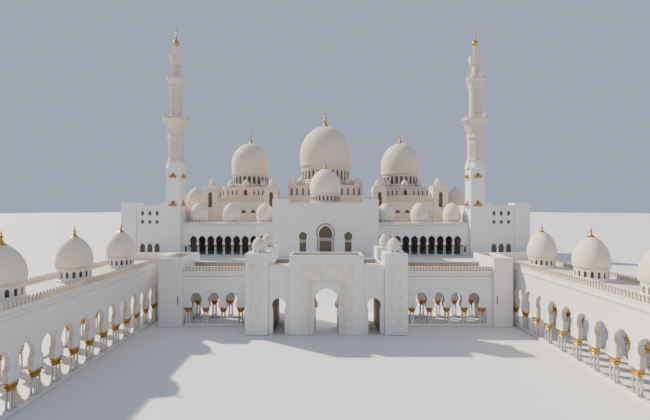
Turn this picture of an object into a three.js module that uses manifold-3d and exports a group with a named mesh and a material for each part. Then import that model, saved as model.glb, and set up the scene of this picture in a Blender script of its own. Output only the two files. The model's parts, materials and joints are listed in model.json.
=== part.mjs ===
// A white marble mosque: a gatehouse with arcaded screens, two long side arcades,
// and behind them a prayer hall with a portal, galleries, wings, domes and two minarets.
// Every size below is in metres of the real building. The model is one tenth of that.
// x runs across the front, y from front to back, z up from the ground.

import * as THREE from 'three';
import { mergeVertices } from 'three/addons/utils/BufferGeometryUtils.js';
import Module from 'manifold-3d';

const wasm = await Module();
wasm.setup();

// Scale and seating
const millimetresPerMetre = 100;
const seat = 0.003;

// Depths along y, measured from a base line in front of the building
const arcadeFrontY = 31.45;
const courtBackY = 71;
const hallFrontY = 183;
const hallBackY = 250;
const middleY = (arcadeFrontY + hallBackY) / 2;

// Gatehouse
const gate = { half: 6.32, y: [58.2, 62.8], top: 13.57, rim: 0.5, rimDepth: 0.9 };
const gateArch = { centre: 5.5, radius: 2.17, mouth: 1.9, apex: 7.9 };
const gateJamb = { half: 2.09, top: 3.2 };
const gateFrame = { half: 2.81, top: 8.92, depth: 0.4 };
const link = { outer: 9.88, y: [58.7, 67], top: 11.9, rim: 0.4, rimDepth: 0.9 };
const linkArch = { centre: 5.0, radius: 1.175, mouth: 1.0, apex: 6.2 };
const pylon = { outer: 13.75, width: 3.84, depth: 4.3, top: 13.86, frontY: 58.2, rearY: 67.3 };
const pylonDome = { radius: 1.2, drum: 1.08, foot: 0.5, widest: 0.9, apex: 2.55, tip: 3.3, point: 0.1 };

// Screens on either side of the gatehouse
const screen = {
  frontY: [63, 63.9], rearY: [68, 68.9], bay: 3.2, firstArch: 17.35,
  wallTop: 9.1, deckTop: 9.97, railTop: 10.9, rail: 0.25,
};
const courtArch = { centre: 4.9, radius: 1.05, mouth: 0.82, apex: 6.15 };
const corner = { y: [62.4, courtBackY], top: 12.5, rim: 0.4, rimDepth: 1.1 };
const returnWallY = 66.5;

// Side arcades
const arcade = { wall: 1.0, width: 7.5, wallTop: 10.4, roofTop: 11.0, lip: 0.35, lipTop: 11.7 };
const arcadeDome = {
  radius: 2.28, drum: 2.0, foot: 2.05, widest: 2.75, apex: 6.5, tip: 8.1, wall: 0.3, point: 0.2,
};

// Left is minus x. The left arcade stands one bay nearer to the middle, as the real court does.
const sides = [
  {
    name: 'left', sign: -1, arches: 3, cornerX: [26.1, 30.4],
    arcadeInner: 32.6, lastPier: 65.9, bay: 3.0, bays: 11, domeDepths: [62.2, 50.7, 39.2], domeInset: 4.45,
    arcadeArch: { centre: 5.45, radius: 1.12, mouth: 0.84, apex: 7.0 },
  },
  {
    name: 'right', sign: 1, arches: 4, cornerX: [30.35, 33.8],
    arcadeInner: 34.7, lastPier: 63.75, bay: 3.1, bays: 10, domeDepths: [62.2, 50.7, 39.7], domeInset: 4.15,
    arcadeArch: { centre: 5.65, radius: 1.14, mouth: 0.84, apex: 7.3 },
  },
];

// Columns: pairs of slender shafts between a plinth and a capital
const column = { shaft: 0.26, pitch: 0.84, depth: 0.8, plinth: 0.3, plinthWider: 0.1 };
const columnPair = [-column.pitch / 2, column.pitch / 2];
const columnSingle = [0];
const courtCapital = 2.45;

// Portal of the prayer hall
const portal = {
  half: 23.7, frontY: 153.8, wall: 1.2, top: 24.7, pylonInner: 16.6, pylonTop: 26.1, pylonDepth: 5,
  roof: [22.9, 23.8], domeY: 165,
};
const portalFrame = { centre: 11.0, radius: 4.35, mouth: 3.9, apex: 15.5, depth: 0.5 };
const portalArch = { centre: 10.4, radius: 3.05, mouth: 2.8, apex: 14.2 };
const portalWindow = { x: 10.1, foot: 3.4, centre: 9.4, radius: 1.75, mouth: 1.5, apex: 11.5 };
const portalScreenThick = 0.2;
const portalDome = {
  radius: 7.5, drum: 7.1, foot: 5.6, widest: 7.6, apex: 17.0, tip: 20.8, wall: 0.6, point: 0.03,
  sides: 12, windows: 6, windowWidth: 1.1, windowZ: [1.7, 4.0],
};

// Galleries between the portal and the minarets
const gallery = {
  y: [161, 162], inner: 23.7, outer: 66.8, top: 14.1, roofTop: 14.95, bay: 4.02, firstArch: 25.45,
  arches: 10, capital: 4.1, domeX: [29.3, 45.6, 61.3], domeY: 167.5,
};
const galleryArch = { centre: 7.0, radius: 1.5, mouth: 1.25, apex: 9.07 };
const galleryDome = {
  radius: 4.2, drum: 3.8, foot: 2.3, widest: 4.1, apex: 9.85, tip: 11.6, wall: 0.4, point: 0.12,
};

// Wings at the two ends
const wing = {
  outer: 93.9, y: [158.5, hallFrontY], wall: 1.0, top: 24.4, rimDepth: 0.8, ceiling: 22.6,
  panel: [75.6, 87.1], panelTop: 23.5, panelDepth: 0.4,
};
const wingWindows = { x: [77.1, 80.7, 84.3], sideY: [165, 171, 177] };
const tallWindow = { z: [1.2, 5.8], half: 1.0 };
const squareWindow = { z: [14.9, 16.5], half: 0.7 };
const smallWindow = { z: [18.7, 20.8], half: 0.7 };

// Minarets
const minaret = {
  x: 70.05, y: 161.75, side: 6.5, squareTop: 40.6, octagonFoot: 43.3,
  balconyHalf: 1.5, balconyReach: 0.9, balconies: [[22.5, 25.6], [35.5, 38.3]],
};
// Turned outlines of the upper stages, as radius and height above the ground
const octagonStage = [
  [3.75, minaret.octagonFoot + seat], [3.75, 44.6], [3.5, 44.6], [3.5, 54.3], [3.75, 54.3], [3.75, 57.5],
  [5.0, 60], [5.9, 62.7], [5.9, 65.8], [5.6, 65.8], [5.6, 63.2],
];
const shaftStage = [
  [3.1, 63.2 + seat], [3.1, 65.0], [2.77, 65.4], [2.77, 77.6], [3.1, 78.3], [3.5, 80], [4.08, 81.9],
  [4.08, 84], [3.8, 84], [3.8, 82.4],
];
const lanternStage = [
  [2.25, 82.4 + seat], [2.25, 82.8], [1.35, 82.8], [1.35, 88.6], [2.2, 89.2], [2.95, 91.9], [2.5, 93.2],
  [1.7, 93.9], [1.25, 96.2], [1.35, 97.7], [0.6, 98.1], [1.4, 99.4], [0.5, 100.8], [0.28, 103.6],
  [0.55, 104.2], [0.2, 104.9], [0.12, 106.6],
];
const lanternPosts = { count: 6, ring: 1.9, radius: 0.24, z: [82.6, 89.4] };

// Prayer hall
const hall = { half: 65, wall: 1.5, wallTop: 26.5, roofTop: 27.5, door: [2.6, 9.5] };
const hallWindow = { z: [19, 22], half: 1.6 };
const hallEndWindow = { z: [22.2, 25], half: 1.6 };
const sideHallWindow = { z: [6, 12], half: 1.6 };
const hallWindowX = [10, 22, 40, 55];
const hallWindowY = [195, 210, 225, 240];
const sideHall = { outer: 84, backY: 235, wall: 1.2, wallTop: 20, roofTop: 21, domeX: 75, domeY: 200 };
const sideHallDome = {
  radius: 5.3, drum: 4.4, foot: 2.4, widest: 5.6, apex: 13, tip: 14.9, wall: 0.5, point: 0.2,
};
const turrets = [
  { name: 'inner', x: 28.75, half: 3.7, top: 33.2, cap: 1.9, tip: 5.6 },
  { name: 'outer', x: 61, half: 3.95, top: 34.2, cap: 1.9, tip: 5.1 },
];

// Great domes, each on a square tier with cut corners
const mainDome = {
  radius: 16.4, drum: 15.5, foot: 13.8, widest: 19.9, apex: 39.0, tip: 49.1, wall: 1.0, point: 0.03,
  sides: 20, windows: 10, windowWidth: 1.6, windowZ: [4.1, 9.8],
};
const sideDome = {
  radius: 12.3, drum: 11.3, foot: 8.9, widest: 14.9, apex: 28.9, tip: 36.9, wall: 0.9, point: 0.03,
  sides: 16, windows: 8, windowWidth: 1.4, windowZ: [2.3, 6.8],
};
const mainTier = { half: 22, top: 35.8, domelet: 2.1 };
const sideTier = { half: 16.8, top: 35.1, domelet: 2.0 };
const tierCorner = 0.2;
const domeletStep = 0.65;
const smallDomeSides = 10;
const greatDomeY = 222.2;
const sideDomeX = 48;
const tierWall = 1.0;
const domelet = { drum: 0.85, foot: 0.55, widest: 0.9, apex: 2.0, tip: 2.7 };

// A closed three.js geometry as a solid
function solidOf(geometry) {
  const bare = geometry.clone();
  bare.deleteAttribute('normal');
  bare.deleteAttribute('uv');
  const merged = mergeVertices(bare, 1e-4);
  const corners = Array.from(merged.index.array);
  const kept = [];
  for (let i = 0; i < corners.length; i += 3) {
    const [a, b, c] = corners.slice(i, i + 3);
    if (a !== b && b !== c && c !== a) kept.push(a, b, c);
  }
  return new wasm.Manifold(new wasm.Mesh({
    numProp: 3,
    vertProperties: Float32Array.from(merged.attributes.position.array),
    triVerts: Uint32Array.from(kept),
  }));
}

// A block between three pairs of limits, given in any order
function block(x, y, z) {
  const limits = [x, y, z].map(([a, b]) => [Math.min(a, b), Math.max(a, b)]);
  const [width, depth, height] = limits.map(([low, high]) => high - low);
  const [cx, cy, cz] = limits.map(([low, high]) => (low + high) / 2);
  const geometry = new THREE.BoxGeometry(width, depth, height);
  geometry.translate(cx, cy, cz);
  return solidOf(geometry);
}

// An outline drawn in x and z, carried along y
function prismAlongY(outline, [y0, y1]) {
  const shape = new THREE.Shape(outline);
  const geometry = new THREE.ExtrudeGeometry(shape, { depth: y1 - y0, bevelEnabled: false });
  geometry.rotateX(Math.PI / 2);
  geometry.translate(0, y1, 0);
  return solidOf(geometry);
}

// An outline drawn in y and z, carried along x
function prismAlongX(outline, [x0, x1]) {
  const shape = new THREE.Shape(outline);
  const geometry = new THREE.ExtrudeGeometry(shape, { depth: Math.abs(x1 - x0), bevelEnabled: false });
  geometry.rotateX(Math.PI / 2);
  geometry.rotateZ(Math.PI / 2);
  geometry.translate(Math.min(x0, x1), 0, 0);
  return solidOf(geometry);
}

// A profile of radius and height turned round a vertical axis
function turned(profile, [x, y], segments) {
  const points = profile.map(([radius, z]) => new THREE.Vector2(radius, z));
  const geometry = new THREE.LatheGeometry(points, segments, Math.PI / segments);
  geometry.rotateX(Math.PI / 2);
  geometry.translate(x, y, 0);
  return solidOf(geometry);
}

function joined(solids) {
  return solids.reduce((sum, solid) => sum.add(solid));
}

function cutFrom(body, solids) {
  return solids.reduce((rest, solid) => rest.subtract(solid), body);
}

// Half of a pointed curve: two centres set off the axis, so the side is upright at its widest level
function pointedCurve(radius, rise, steps) {
  const offset = (rise * rise - radius * radius) / (2 * radius);
  const reach = radius + offset;
  const full = Math.asin(rise / reach);
  const curve = [];
  for (let i = 0; i <= steps; i += 1) {
    const angle = (full * i) / steps;
    curve.push([Math.max(reach * Math.cos(angle) - offset, 0), reach * Math.sin(angle)]);
  }
  return curve;
}

// Half of a dome's curve above its widest level: an ellipse, drawn up to a point by the share given
function domeCurve(radius, rise, point, steps) {
  const curve = [];
  for (let i = 0; i <= steps; i += 1) {
    const angle = (Math.PI / 2) * (i / steps);
    const lift = (1 - point) * Math.sin(angle) + point * (1 - Math.cos(angle));
    curve.push([i < steps ? radius * Math.cos(angle) : 0, rise * lift]);
  }
  return curve;
}

// A pointed horseshoe opening: straight jambs, a circle that widens above them, a pointed head
function horseshoe(middle, arch, foot, lowerSteps = 1, upperSteps = 3) {
  const turn = Math.acos(arch.mouth / arch.radius);
  const half = [[arch.mouth, foot]];
  for (let i = 0; i < lowerSteps; i += 1) {
    const angle = turn * (1 - i / lowerSteps);
    half.push([arch.radius * Math.cos(angle), arch.centre - arch.radius * Math.sin(angle)]);
  }
  for (const [x, z] of pointedCurve(arch.radius, arch.apex - arch.centre, upperSteps)) {
    half.push([x, arch.centre + z]);
  }
  const mirrored = half.slice(0, -1).reverse().map(([x, z]) => [-x, z]);
  return [...half, ...mirrored].map(([x, z]) => new THREE.Vector2(middle + x, z));
}

// A plain window with a three-sided head
function windowOutline(middle, { z, half }) {
  const spring = z[1] - half * 0.8;
  const points = [[-half, z[0]], [half, z[0]], [half, spring], [0, z[1]], [-half, spring]];
  return points.map(([x, height]) => new THREE.Vector2(middle + x, height));
}

// The outside of a dome on its drum, with heights above the base. A great dome also has a ledge.
function domeOutside(dome, base, steps) {
  const profile = [[0, base], [dome.drum, base]];
  if (dome.windows) {
    const ledge = dome.drum + (dome.radius - dome.drum) * 0.6;
    const rim = base + dome.foot * 0.9;
    profile.push([dome.drum, rim], [ledge, rim], [ledge, base + dome.foot]);
    profile.push([dome.radius * 0.985, base + (dome.foot + dome.widest) / 2]);
  } else {
    profile.push([dome.drum, base + dome.foot]);
  }
  const curve = domeCurve(dome.radius, dome.apex - dome.widest, dome.point, steps);
  for (const [radius, z] of curve.slice(0, -1)) profile.push([radius, base + dome.widest + z]);
  const neck = dome.radius * 0.035;
  profile.push([neck, base + dome.apex], [neck, base + dome.tip], [0, base + dome.tip]);
  return profile;
}

// The hollow inside of a dome, open downwards, with a wall of even thickness
function domeInside(dome, base, steps) {
  const throat = dome.drum - dome.wall;
  const profile = [[0, base - 3], [throat, base - 3], [throat, base + dome.foot]];
  const rise = dome.apex - dome.widest - dome.wall;
  for (const [radius, z] of domeCurve(dome.radius - dome.wall, rise, dome.point, steps)) {
    profile.push([radius, base + dome.widest + z]);
  }
  return profile;
}

// Windows through a round drum, cut in opposite pairs
function drumWindows(dome, [x, y], base) {
  const pairs = dome.windows / 2;
  const reach = dome.radius * 1.2;
  const cuts = [];
  for (let i = 0; i < pairs; i += 1) {
    const height = dome.windowZ[1] - dome.windowZ[0];
    const geometry = new THREE.BoxGeometry(2 * reach, dome.windowWidth, height);
    geometry.rotateZ((i * Math.PI) / pairs);
    geometry.translate(x, y, base + (dome.windowZ[0] + dome.windowZ[1]) / 2);
    cuts.push(solidOf(geometry));
  }
  return cuts;
}

function domeShell(dome, at, base) {
  const outside = turned(domeOutside(dome, base, 5), at, dome.sides);
  const inside = turned(domeInside(dome, base, 4), at, dome.sides);
  return cutFrom(outside.subtract(inside), drumWindows(dome, at, base));
}

// Small domes on a roof slab, hollow and open to the space below
function roofDomes(dome, places, roofTop) {
  return {
    outsides: places.map((at) => turned(domeOutside(dome, roofTop - 0.1, 3), at, smallDomeSides)),
    insides: places.map((at) => turned(domeInside(dome, roofTop, 2), at, smallDomeSides)),
  };
}

// Materials
const marble = { color: 0xdedad4, roughness: 0.45, metalness: 0 };
const domeMarble = { color: 0xd6cfc2, roughness: 0.5, metalness: 0 };
const darkGlass = { color: 0x2a241e, roughness: 0.25, metalness: 0.1 };

const building = new THREE.Group();

// A finished solid as a named mesh, on a hundredth of a millimetre grid
function addPiece(name, solid, finish) {
  const mesh = solid.getMesh();
  const count = mesh.vertProperties.length / mesh.numProp;
  const positions = new Float32Array(count * 3);
  const origin = [0, middleY, 0];
  for (let i = 0; i < count; i += 1) {
    for (let axis = 0; axis < 3; axis += 1) {
      const metres = mesh.vertProperties[i * mesh.numProp + axis] - origin[axis];
      positions[i * 3 + axis] = Math.round(metres * millimetresPerMetre * 100) / 100;
    }
  }
  const geometry = new THREE.BufferGeometry();
  geometry.setAttribute('position', new THREE.BufferAttribute(positions, 3));
  geometry.setIndex(new THREE.BufferAttribute(Uint32Array.from(mesh.triVerts), 1));
  geometry.computeVertexNormals();
  const piece = new THREE.Mesh(geometry, new THREE.MeshStandardMaterial(finish));
  piece.name = name;
  building.add(piece);
}

// A roof sunk behind a low rim
function roofRecess(x, y, top, rim, depth) {
  const inset = ([a, b]) => [Math.min(a, b) + rim, Math.max(a, b) - rim];
  return block(inset(x), inset(y), [top - depth, top + 1]);
}

function gateBlock() {
  const x = [-gate.half, gate.half];
  const passage = prismAlongY(horseshoe(0, gateArch, -1, 3, 5), [gate.y[0] - 1, gate.y[1] + 1]);
  const frame = block(
    [-gateFrame.half, gateFrame.half],
    [gate.y[0] - 1, gate.y[0] + gateFrame.depth],
    [-1, gateFrame.top],
  );
  const jambs = block([-gateJamb.half, gateJamb.half], [gate.y[0] - 1, gate.y[1] + 1], [-1, gateJamb.top]);
  const recess = roofRecess(x, gate.y, gate.top, gate.rim, gate.rimDepth);
  return cutFrom(block(x, gate.y, [0, gate.top]), [frame, passage, jambs, recess]);
}

function gateLink(sign) {
  const x = [sign * (gate.half + seat), sign * link.outer];
  const middle = (x[0] + x[1]) / 2;
  const passage = prismAlongY(horseshoe(middle, linkArch, -1), [link.y[0] - 1, link.y[1] + 1]);
  const recess = roofRecess(x, link.y, link.top, link.rim, link.rimDepth);
  return cutFrom(block(x, link.y, [0, link.top]), [passage, recess]);
}

function gatePylon(sign, frontY) {
  const x = [sign * (pylon.outer - pylon.width), sign * pylon.outer];
  const at = [(x[0] + x[1]) / 2, frontY + pylon.depth / 2];
  const body = block(x, [frontY, frontY + pylon.depth], [0, pylon.top]);
  return body.add(turned(domeOutside(pylonDome, pylon.top - 0.1, 3), at, 8));
}

// Pairs of shafts on a plinth, from the ground up to the capital, spread along x or y
function columnRow(places, across, plinthSpan, top, alongY, shifts = columnPair) {
  const solids = [];
  const half = column.depth / 2;
  const put = (along, z) => {
    const side = [across - half, across + half];
    return alongY ? block(side, along, z) : block(along, side, z);
  };
  for (const place of places) {
    for (const shift of shifts) {
      const middle = place + shift;
      const along = [middle - column.shaft / 2, middle + column.shaft / 2];
      solids.push(put(along, [column.plinth - 0.1, top + 0.1]));
    }
  }
  const wide = [across - half - column.plinthWider, across + half + column.plinthWider];
  const foot = [0, column.plinth];
  solids.push(alongY ? block(wide, plinthSpan, foot) : block(plinthSpan, wide, foot));
  return joined(solids);
}

function archMiddles(first, pitch, count, sign) {
  return Array.from({ length: count }, (_, i) => sign * (first + pitch * i));
}

// One row of a screen: solid beside the gatehouse, then open arches on paired columns
function screenRow(side, y, inner, shifts) {
  const outer = side.cornerX[0] - seat;
  const middles = archMiddles(screen.firstArch, screen.bay, side.arches, side.sign);
  const firstPier = screen.firstArch - screen.bay / 2;
  const openEnd = firstPier + screen.bay * side.arches;
  const x = [side.sign * inner, side.sign * outer];
  const wall = block(x, y, [courtCapital, screen.wallTop]);
  const arches = middles.map((middle) => prismAlongY(horseshoe(middle, courtArch, 0), [y[0] - 1, y[1] + 1]));
  const solidEnd = block([x[0], side.sign * (firstPier - 0.75)], y, [0, screen.wallTop]);
  const piers = Array.from({ length: side.arches + 1 }, (_, i) => side.sign * (firstPier + screen.bay * i));
  const span = [side.sign * (firstPier - 0.8), side.sign * Math.min(openEnd + 0.8, outer)];
  const columns = columnRow(piers, (y[0] + y[1]) / 2, span, courtCapital, false, shifts);
  const parts = [cutFrom(wall, arches), columns, solidEnd];
  if (outer - openEnd > 1) parts.push(block([side.sign * (openEnd + 0.7), x[1]], y, [0, screen.wallTop]));
  return joined(parts);
}

function screenRoof(side) {
  const z = [screen.wallTop + seat, screen.deckTop];
  const outer = side.sign * (side.cornerX[0] - seat);
  const inner = side.sign * (pylon.outer + seat);
  const depth = [screen.frontY[0], screen.rearY[1]];
  const behind = [pylon.frontY + pylon.depth + seat, pylon.rearY - seat];
  const neck = block([side.sign * (link.outer + seat), side.sign * (pylon.outer + 1)], behind, z);
  const railZ = [screen.deckTop - 0.1, screen.railTop];
  const frontRail = block([inner, outer], [depth[0], depth[0] + screen.rail], railZ);
  const rearRail = block([inner, outer], [depth[1] - screen.rail, depth[1]], railZ);
  return joined([block([inner, outer], depth, z), neck, frontRail, rearRail]);
}

function cornerBlock(side) {
  const x = side.cornerX.map((value) => side.sign * value);
  const recess = roofRecess(x, corner.y, corner.top, corner.rim, corner.rimDepth);
  const body = block(x, corner.y, [0, corner.top]).subtract(recess);
  const end = side.sign * (side.arcadeInner - seat);
  return body.add(block([x[1] - side.sign * 0.1, end], [returnWallY, courtBackY], [0, corner.top]));
}

// One row of a side arcade, running along y
function arcadeRow(side, innerFace, shifts) {
  const x = [side.sign * innerFace, side.sign * (innerFace + arcade.wall)];
  const across = (x[0] + x[1]) / 2;
  const piers = Array.from({ length: side.bays + 1 }, (_, i) => side.lastPier - side.bay * i);
  const wall = block(x, [arcadeFrontY, courtBackY], [courtCapital, arcade.wallTop]);
  const arches = piers.slice(0, -1).map((pier) => (
    prismAlongX(horseshoe(pier - side.bay / 2, side.arcadeArch, 0), [x[0] - side.sign, x[1] + side.sign])
  ));
  const solidEnd = block(x, [side.lastPier + 0.7, courtBackY], [0, arcade.wallTop]);
  const solidFront = block(x, [arcadeFrontY, piers[side.bays] - 0.7], [0, arcade.wallTop]);
  const span = [piers[side.bays] - 0.8, side.lastPier + 0.8];
  const columns = columnRow(piers, across, span, courtCapital, true, shifts);
  return joined([cutFrom(wall, arches), columns, solidEnd, solidFront]);
}

function arcadeRoof(side) {
  const inner = side.sign * side.arcadeInner;
  const outer = side.sign * (side.arcadeInner + arcade.width + arcade.wall);
  const y = [arcadeFrontY, courtBackY];
  const slab = block([inner, outer], y, [arcade.wallTop + seat, arcade.roofTop]);
  const lipZ = [arcade.roofTop - 0.1, arcade.lipTop];
  const lips = [inner, outer - side.sign * arcade.lip].map((start) => (
    block([start, start + side.sign * arcade.lip], y, lipZ)
  ));
  const end = block([inner, outer], [courtBackY - 0.4, courtBackY], [arcade.roofTop - 0.1, corner.top]);
  const places = side.domeDepths.map((depth) => [side.sign * (side.arcadeInner + side.domeInset), depth]);
  const { outsides, insides } = roofDomes(arcadeDome, places, arcade.roofTop);
  return cutFrom(joined([slab, ...lips, end, ...outsides]), insides);
}

function portalWalls() {
  const y = [portal.frontY, portal.frontY + portal.wall];
  const front = block([-portal.half, portal.half], y, [0, portal.top]);
  const parts = [front];
  for (const sign of [-1, 1]) {
    const sideX = [sign * (portal.half - portal.wall), sign * portal.half];
    parts.push(block(sideX, [portal.frontY, hallFrontY - seat], [0, portal.top]));
    const pylonX = [sign * portal.pylonInner, sign * portal.half];
    parts.push(block(pylonX, [portal.frontY, portal.frontY + portal.pylonDepth], [0, portal.pylonTop]));
  }
  const frameY = [y[0] - 1, y[0] + portalFrame.depth];
  const cuts = [
    prismAlongY(horseshoe(0, portalFrame, -1, 2, 4), frameY),
    prismAlongY(horseshoe(0, portalArch, -1, 2, 4), [y[0] - 1, y[1] + 1]),
  ];
  for (const sign of [-1, 1]) {
    const outline = horseshoe(sign * portalWindow.x, portalWindow, portalWindow.foot);
    cuts.push(prismAlongY(outline, [y[0] - 1, y[1] + 1]));
  }
  return cutFrom(joined(parts), cuts);
}

// The glazed screen that fills the portal's arch, with a hair of clearance all round
function portalScreen() {
  const arch = { ...portalArch };
  arch.radius -= seat;
  arch.mouth -= seat;
  arch.apex -= seat;
  const start = portal.frontY + portal.wall - 2 * portalScreenThick;
  return prismAlongY(horseshoe(0, arch, 0, 2, 4), [start, start + portalScreenThick]);
}

function portalRoof() {
  const inside = portal.half - portal.wall - seat;
  const y = [portal.frontY + portal.wall + seat, hallFrontY - seat];
  const slab = block([-inside, inside], y, portal.roof);
  const notches = [-1, 1].map((sign) => block(
    [sign * (portal.pylonInner - seat), sign * (portal.half + 1)],
    [portal.frontY, portal.frontY + portal.pylonDepth + seat],
    [portal.roof[0] - 1, portal.roof[1] + 1],
  ));
  const hole = turned(domeInside(portalDome, portal.roof[1], 3), [0, portal.domeY], portalDome.sides);
  return cutFrom(slab, [...notches, hole]);
}

function galleryFront(sign) {
  const x = [sign * (gallery.inner + seat), sign * (gallery.outer - seat)];
  const middles = archMiddles(gallery.firstArch, gallery.bay, gallery.arches, sign);
  const wall = block(x, gallery.y, [gallery.capital, gallery.top]);
  const through = [gallery.y[0] - 1, gallery.y[1] + 1];
  const arches = middles.map((middle) => prismAlongY(horseshoe(middle, galleryArch, 0), through));
  const piers = middles.map((middle) => middle + (sign * gallery.bay) / 2);
  const lastPier = gallery.firstArch + gallery.bay * (gallery.arches - 0.5);
  const span = [x[0], sign * (lastPier + 1)];
  const across = (gallery.y[0] + gallery.y[1]) / 2;
  const columns = columnRow(piers, across, span, gallery.capital, false, columnSingle);
  const end = block([sign * (lastPier + 0.8), x[1]], gallery.y, [0, gallery.top]);
  const start = block([x[0], sign * (gallery.firstArch - galleryArch.radius)], gallery.y, [0, gallery.top]);
  return joined([cutFrom(wall, arches), columns, end, start.subtract(arches[0])]);
}

function galleryRoof(sign) {
  const x = [sign * (gallery.inner + seat), sign * (gallery.outer - seat)];
  const y = [gallery.y[0], hallFrontY - seat];
  const slab = block(x, y, [gallery.top + seat, gallery.roofTop]);
  const places = gallery.domeX.map((domeX) => [sign * domeX, gallery.domeY]);
  const { outsides, insides } = roofDomes(galleryDome, places, gallery.roofTop);
  return cutFrom(joined([slab, ...outsides]), insides);
}

// A hollow end wing that also closes the space behind its minaret
function wingBlock(sign) {
  const towerX = minaret.x + minaret.side / 2 + seat;
  const towerBackY = minaret.y + minaret.side / 2 + minaret.balconyReach + seat;
  const inner = gallery.outer + seat;
  const back = wing.y[1] - seat;
  const main = block([sign * towerX, sign * wing.outer], [wing.y[0], back], [0, wing.top]);
  const behind = block([sign * inner, sign * (towerX + 1)], [towerBackY, back], [0, wing.top]);
  const room = (low, high, y0, z) => block([sign * low, sign * high], [y0, back - wing.wall], z);
  const voids = [[-1, wing.ceiling], [wing.top - wing.rimDepth, wing.top + 1]].flatMap((z) => [
    room(towerX + wing.wall, wing.outer - wing.wall, wing.y[0] + wing.wall, z),
    room(inner + wing.wall, towerX + wing.wall + 1, towerBackY + wing.wall, z),
  ]);
  const frontY = [wing.y[0] - 1, wing.y[0] + wing.wall + 1];
  const sideX = [sign * (wing.outer - wing.wall - 1), sign * (wing.outer + 1)];
  const openings = [tallWindow, squareWindow, smallWindow].flatMap((opening) => [
    ...wingWindows.x.map((x) => prismAlongY(windowOutline(sign * x, opening), frontY)),
    ...wingWindows.sideY.map((y) => prismAlongX(windowOutline(y, opening), sideX)),
  ]);
  const panelX = wing.panel.map((x) => sign * x);
  const panel = block(panelX, [wing.y[0] - 1, wing.y[0] + wing.panelDepth], [0.6, wing.panelTop]);
  return cutFrom(main.add(behind), [...voids, panel, ...openings]);
}

function minaretTower(at) {
  const half = minaret.side / 2;
  const square = (z) => block([at[0] - half, at[0] + half], [at[1] - half, at[1] + half], z);
  const shoulder = turned(
    [[0, 30], [half * 1.7, 30], [half * 1.7, minaret.squareTop - 1], [half * 1.08, minaret.octagonFoot],
      [0, minaret.octagonFoot]],
    at,
    8,
  );
  const parts = [square([0, minaret.squareTop]), square([31, minaret.octagonFoot]).intersect(shoulder)];
  const wide = minaret.balconyHalf;
  const reach = half + minaret.balconyReach;
  for (const z of minaret.balconies) {
    parts.push(block([at[0] - wide, at[0] + wide], [at[1] - reach, at[1] + reach], z));
  }
  const sideLow = minaret.balconies[1];
  parts.push(block([at[0] - reach, at[0] + reach], [at[1] - wide, at[1] + wide], sideLow));
  return joined(parts);
}

// A stage's outline closed on its axis and turned
function minaretStage(outline, at, segments) {
  const [first, last] = [outline[0], outline[outline.length - 1]];
  return turned([[0, first[1]], ...outline, [0, last[1]]], at, segments);
}

function minaretLantern(at) {
  const { count, ring, radius, z } = lanternPosts;
  const posts = Array.from({ length: count }, (_, i) => {
    const angle = ((i + 0.5) * 2 * Math.PI) / count;
    const place = [at[0] + ring * Math.cos(angle), at[1] + ring * Math.sin(angle)];
    return minaretStage([[radius, z[0]], [radius, z[1]]], place, 4);
  });
  return joined([minaretStage(lanternStage, at, 8), ...posts]);
}

function hallWalls() {
  const x = [-hall.half, hall.half];
  const y = [hallFrontY, hallBackY];
  const inside = block(
    [-hall.half + hall.wall, hall.half - hall.wall],
    [y[0] + hall.wall, y[1] - hall.wall],
    [-1, hall.wallTop + 1],
  );
  const cuts = [inside];
  for (const middle of hallWindowX.flatMap((place) => [-place, place])) {
    cuts.push(prismAlongY(windowOutline(middle, hallWindow), [y[1] - hall.wall - 1, y[1] + 1]));
  }
  for (const middle of hallWindowX.slice(2).flatMap((place) => [-place, place])) {
    cuts.push(prismAlongY(windowOutline(middle, hallWindow), [y[0] - 1, y[0] + hall.wall + 1]));
  }
  cuts.push(block([-hall.door[0], hall.door[0]], [y[0] - 1, y[0] + hall.wall + 1], [-1, hall.door[1]]));
  for (const sign of [-1, 1]) {
    for (const middle of hallWindowY) {
      const through = [sign * (hall.half - hall.wall - 1), sign * (hall.half + 1)];
      cuts.push(prismAlongX(windowOutline(middle, hallEndWindow), through));
    }
  }
  return cutFrom(block(x, y, [0, hall.wallTop]), cuts);
}

function greatDomePlaces() {
  return [
    { name: 'main_dome', dome: mainDome, tier: mainTier, x: 0 },
    { name: 'left_dome', dome: sideDome, tier: sideTier, x: -sideDomeX },
    { name: 'right_dome', dome: sideDome, tier: sideTier, x: sideDomeX },
  ];
}

function hallRoof() {
  const slab = block([-hall.half, hall.half], [hallFrontY, hallBackY], [hall.wallTop + seat, hall.roofTop]);
  const holes = greatDomePlaces().map(({ dome, x }) => {
    const radius = dome.drum - dome.wall;
    const profile = [[0, 20], [radius, 20], [radius, 30], [0, 30]];
    return turned(profile, [x, greatDomeY], dome.sides);
  });
  return cutFrom(slab, holes);
}

// A square block with its upright corners cut, between two levels
function cutSquare(x, half, z) {
  const side = half * (1 - tierCorner);
  const outline = [[side, half], [half, side], [half, -side], [side, -half]];
  const corners = [...outline, ...outline.map(([across, along]) => [-across, -along])];
  const points = corners.map(([across, along]) => new THREE.Vector2(x + across, greatDomeY + along));
  const shape = new THREE.Shape(points);
  const geometry = new THREE.ExtrudeGeometry(shape, { depth: z[1] - z[0], bevelEnabled: false });
  geometry.translate(0, 0, z[0]);
  return solidOf(geometry);
}

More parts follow.
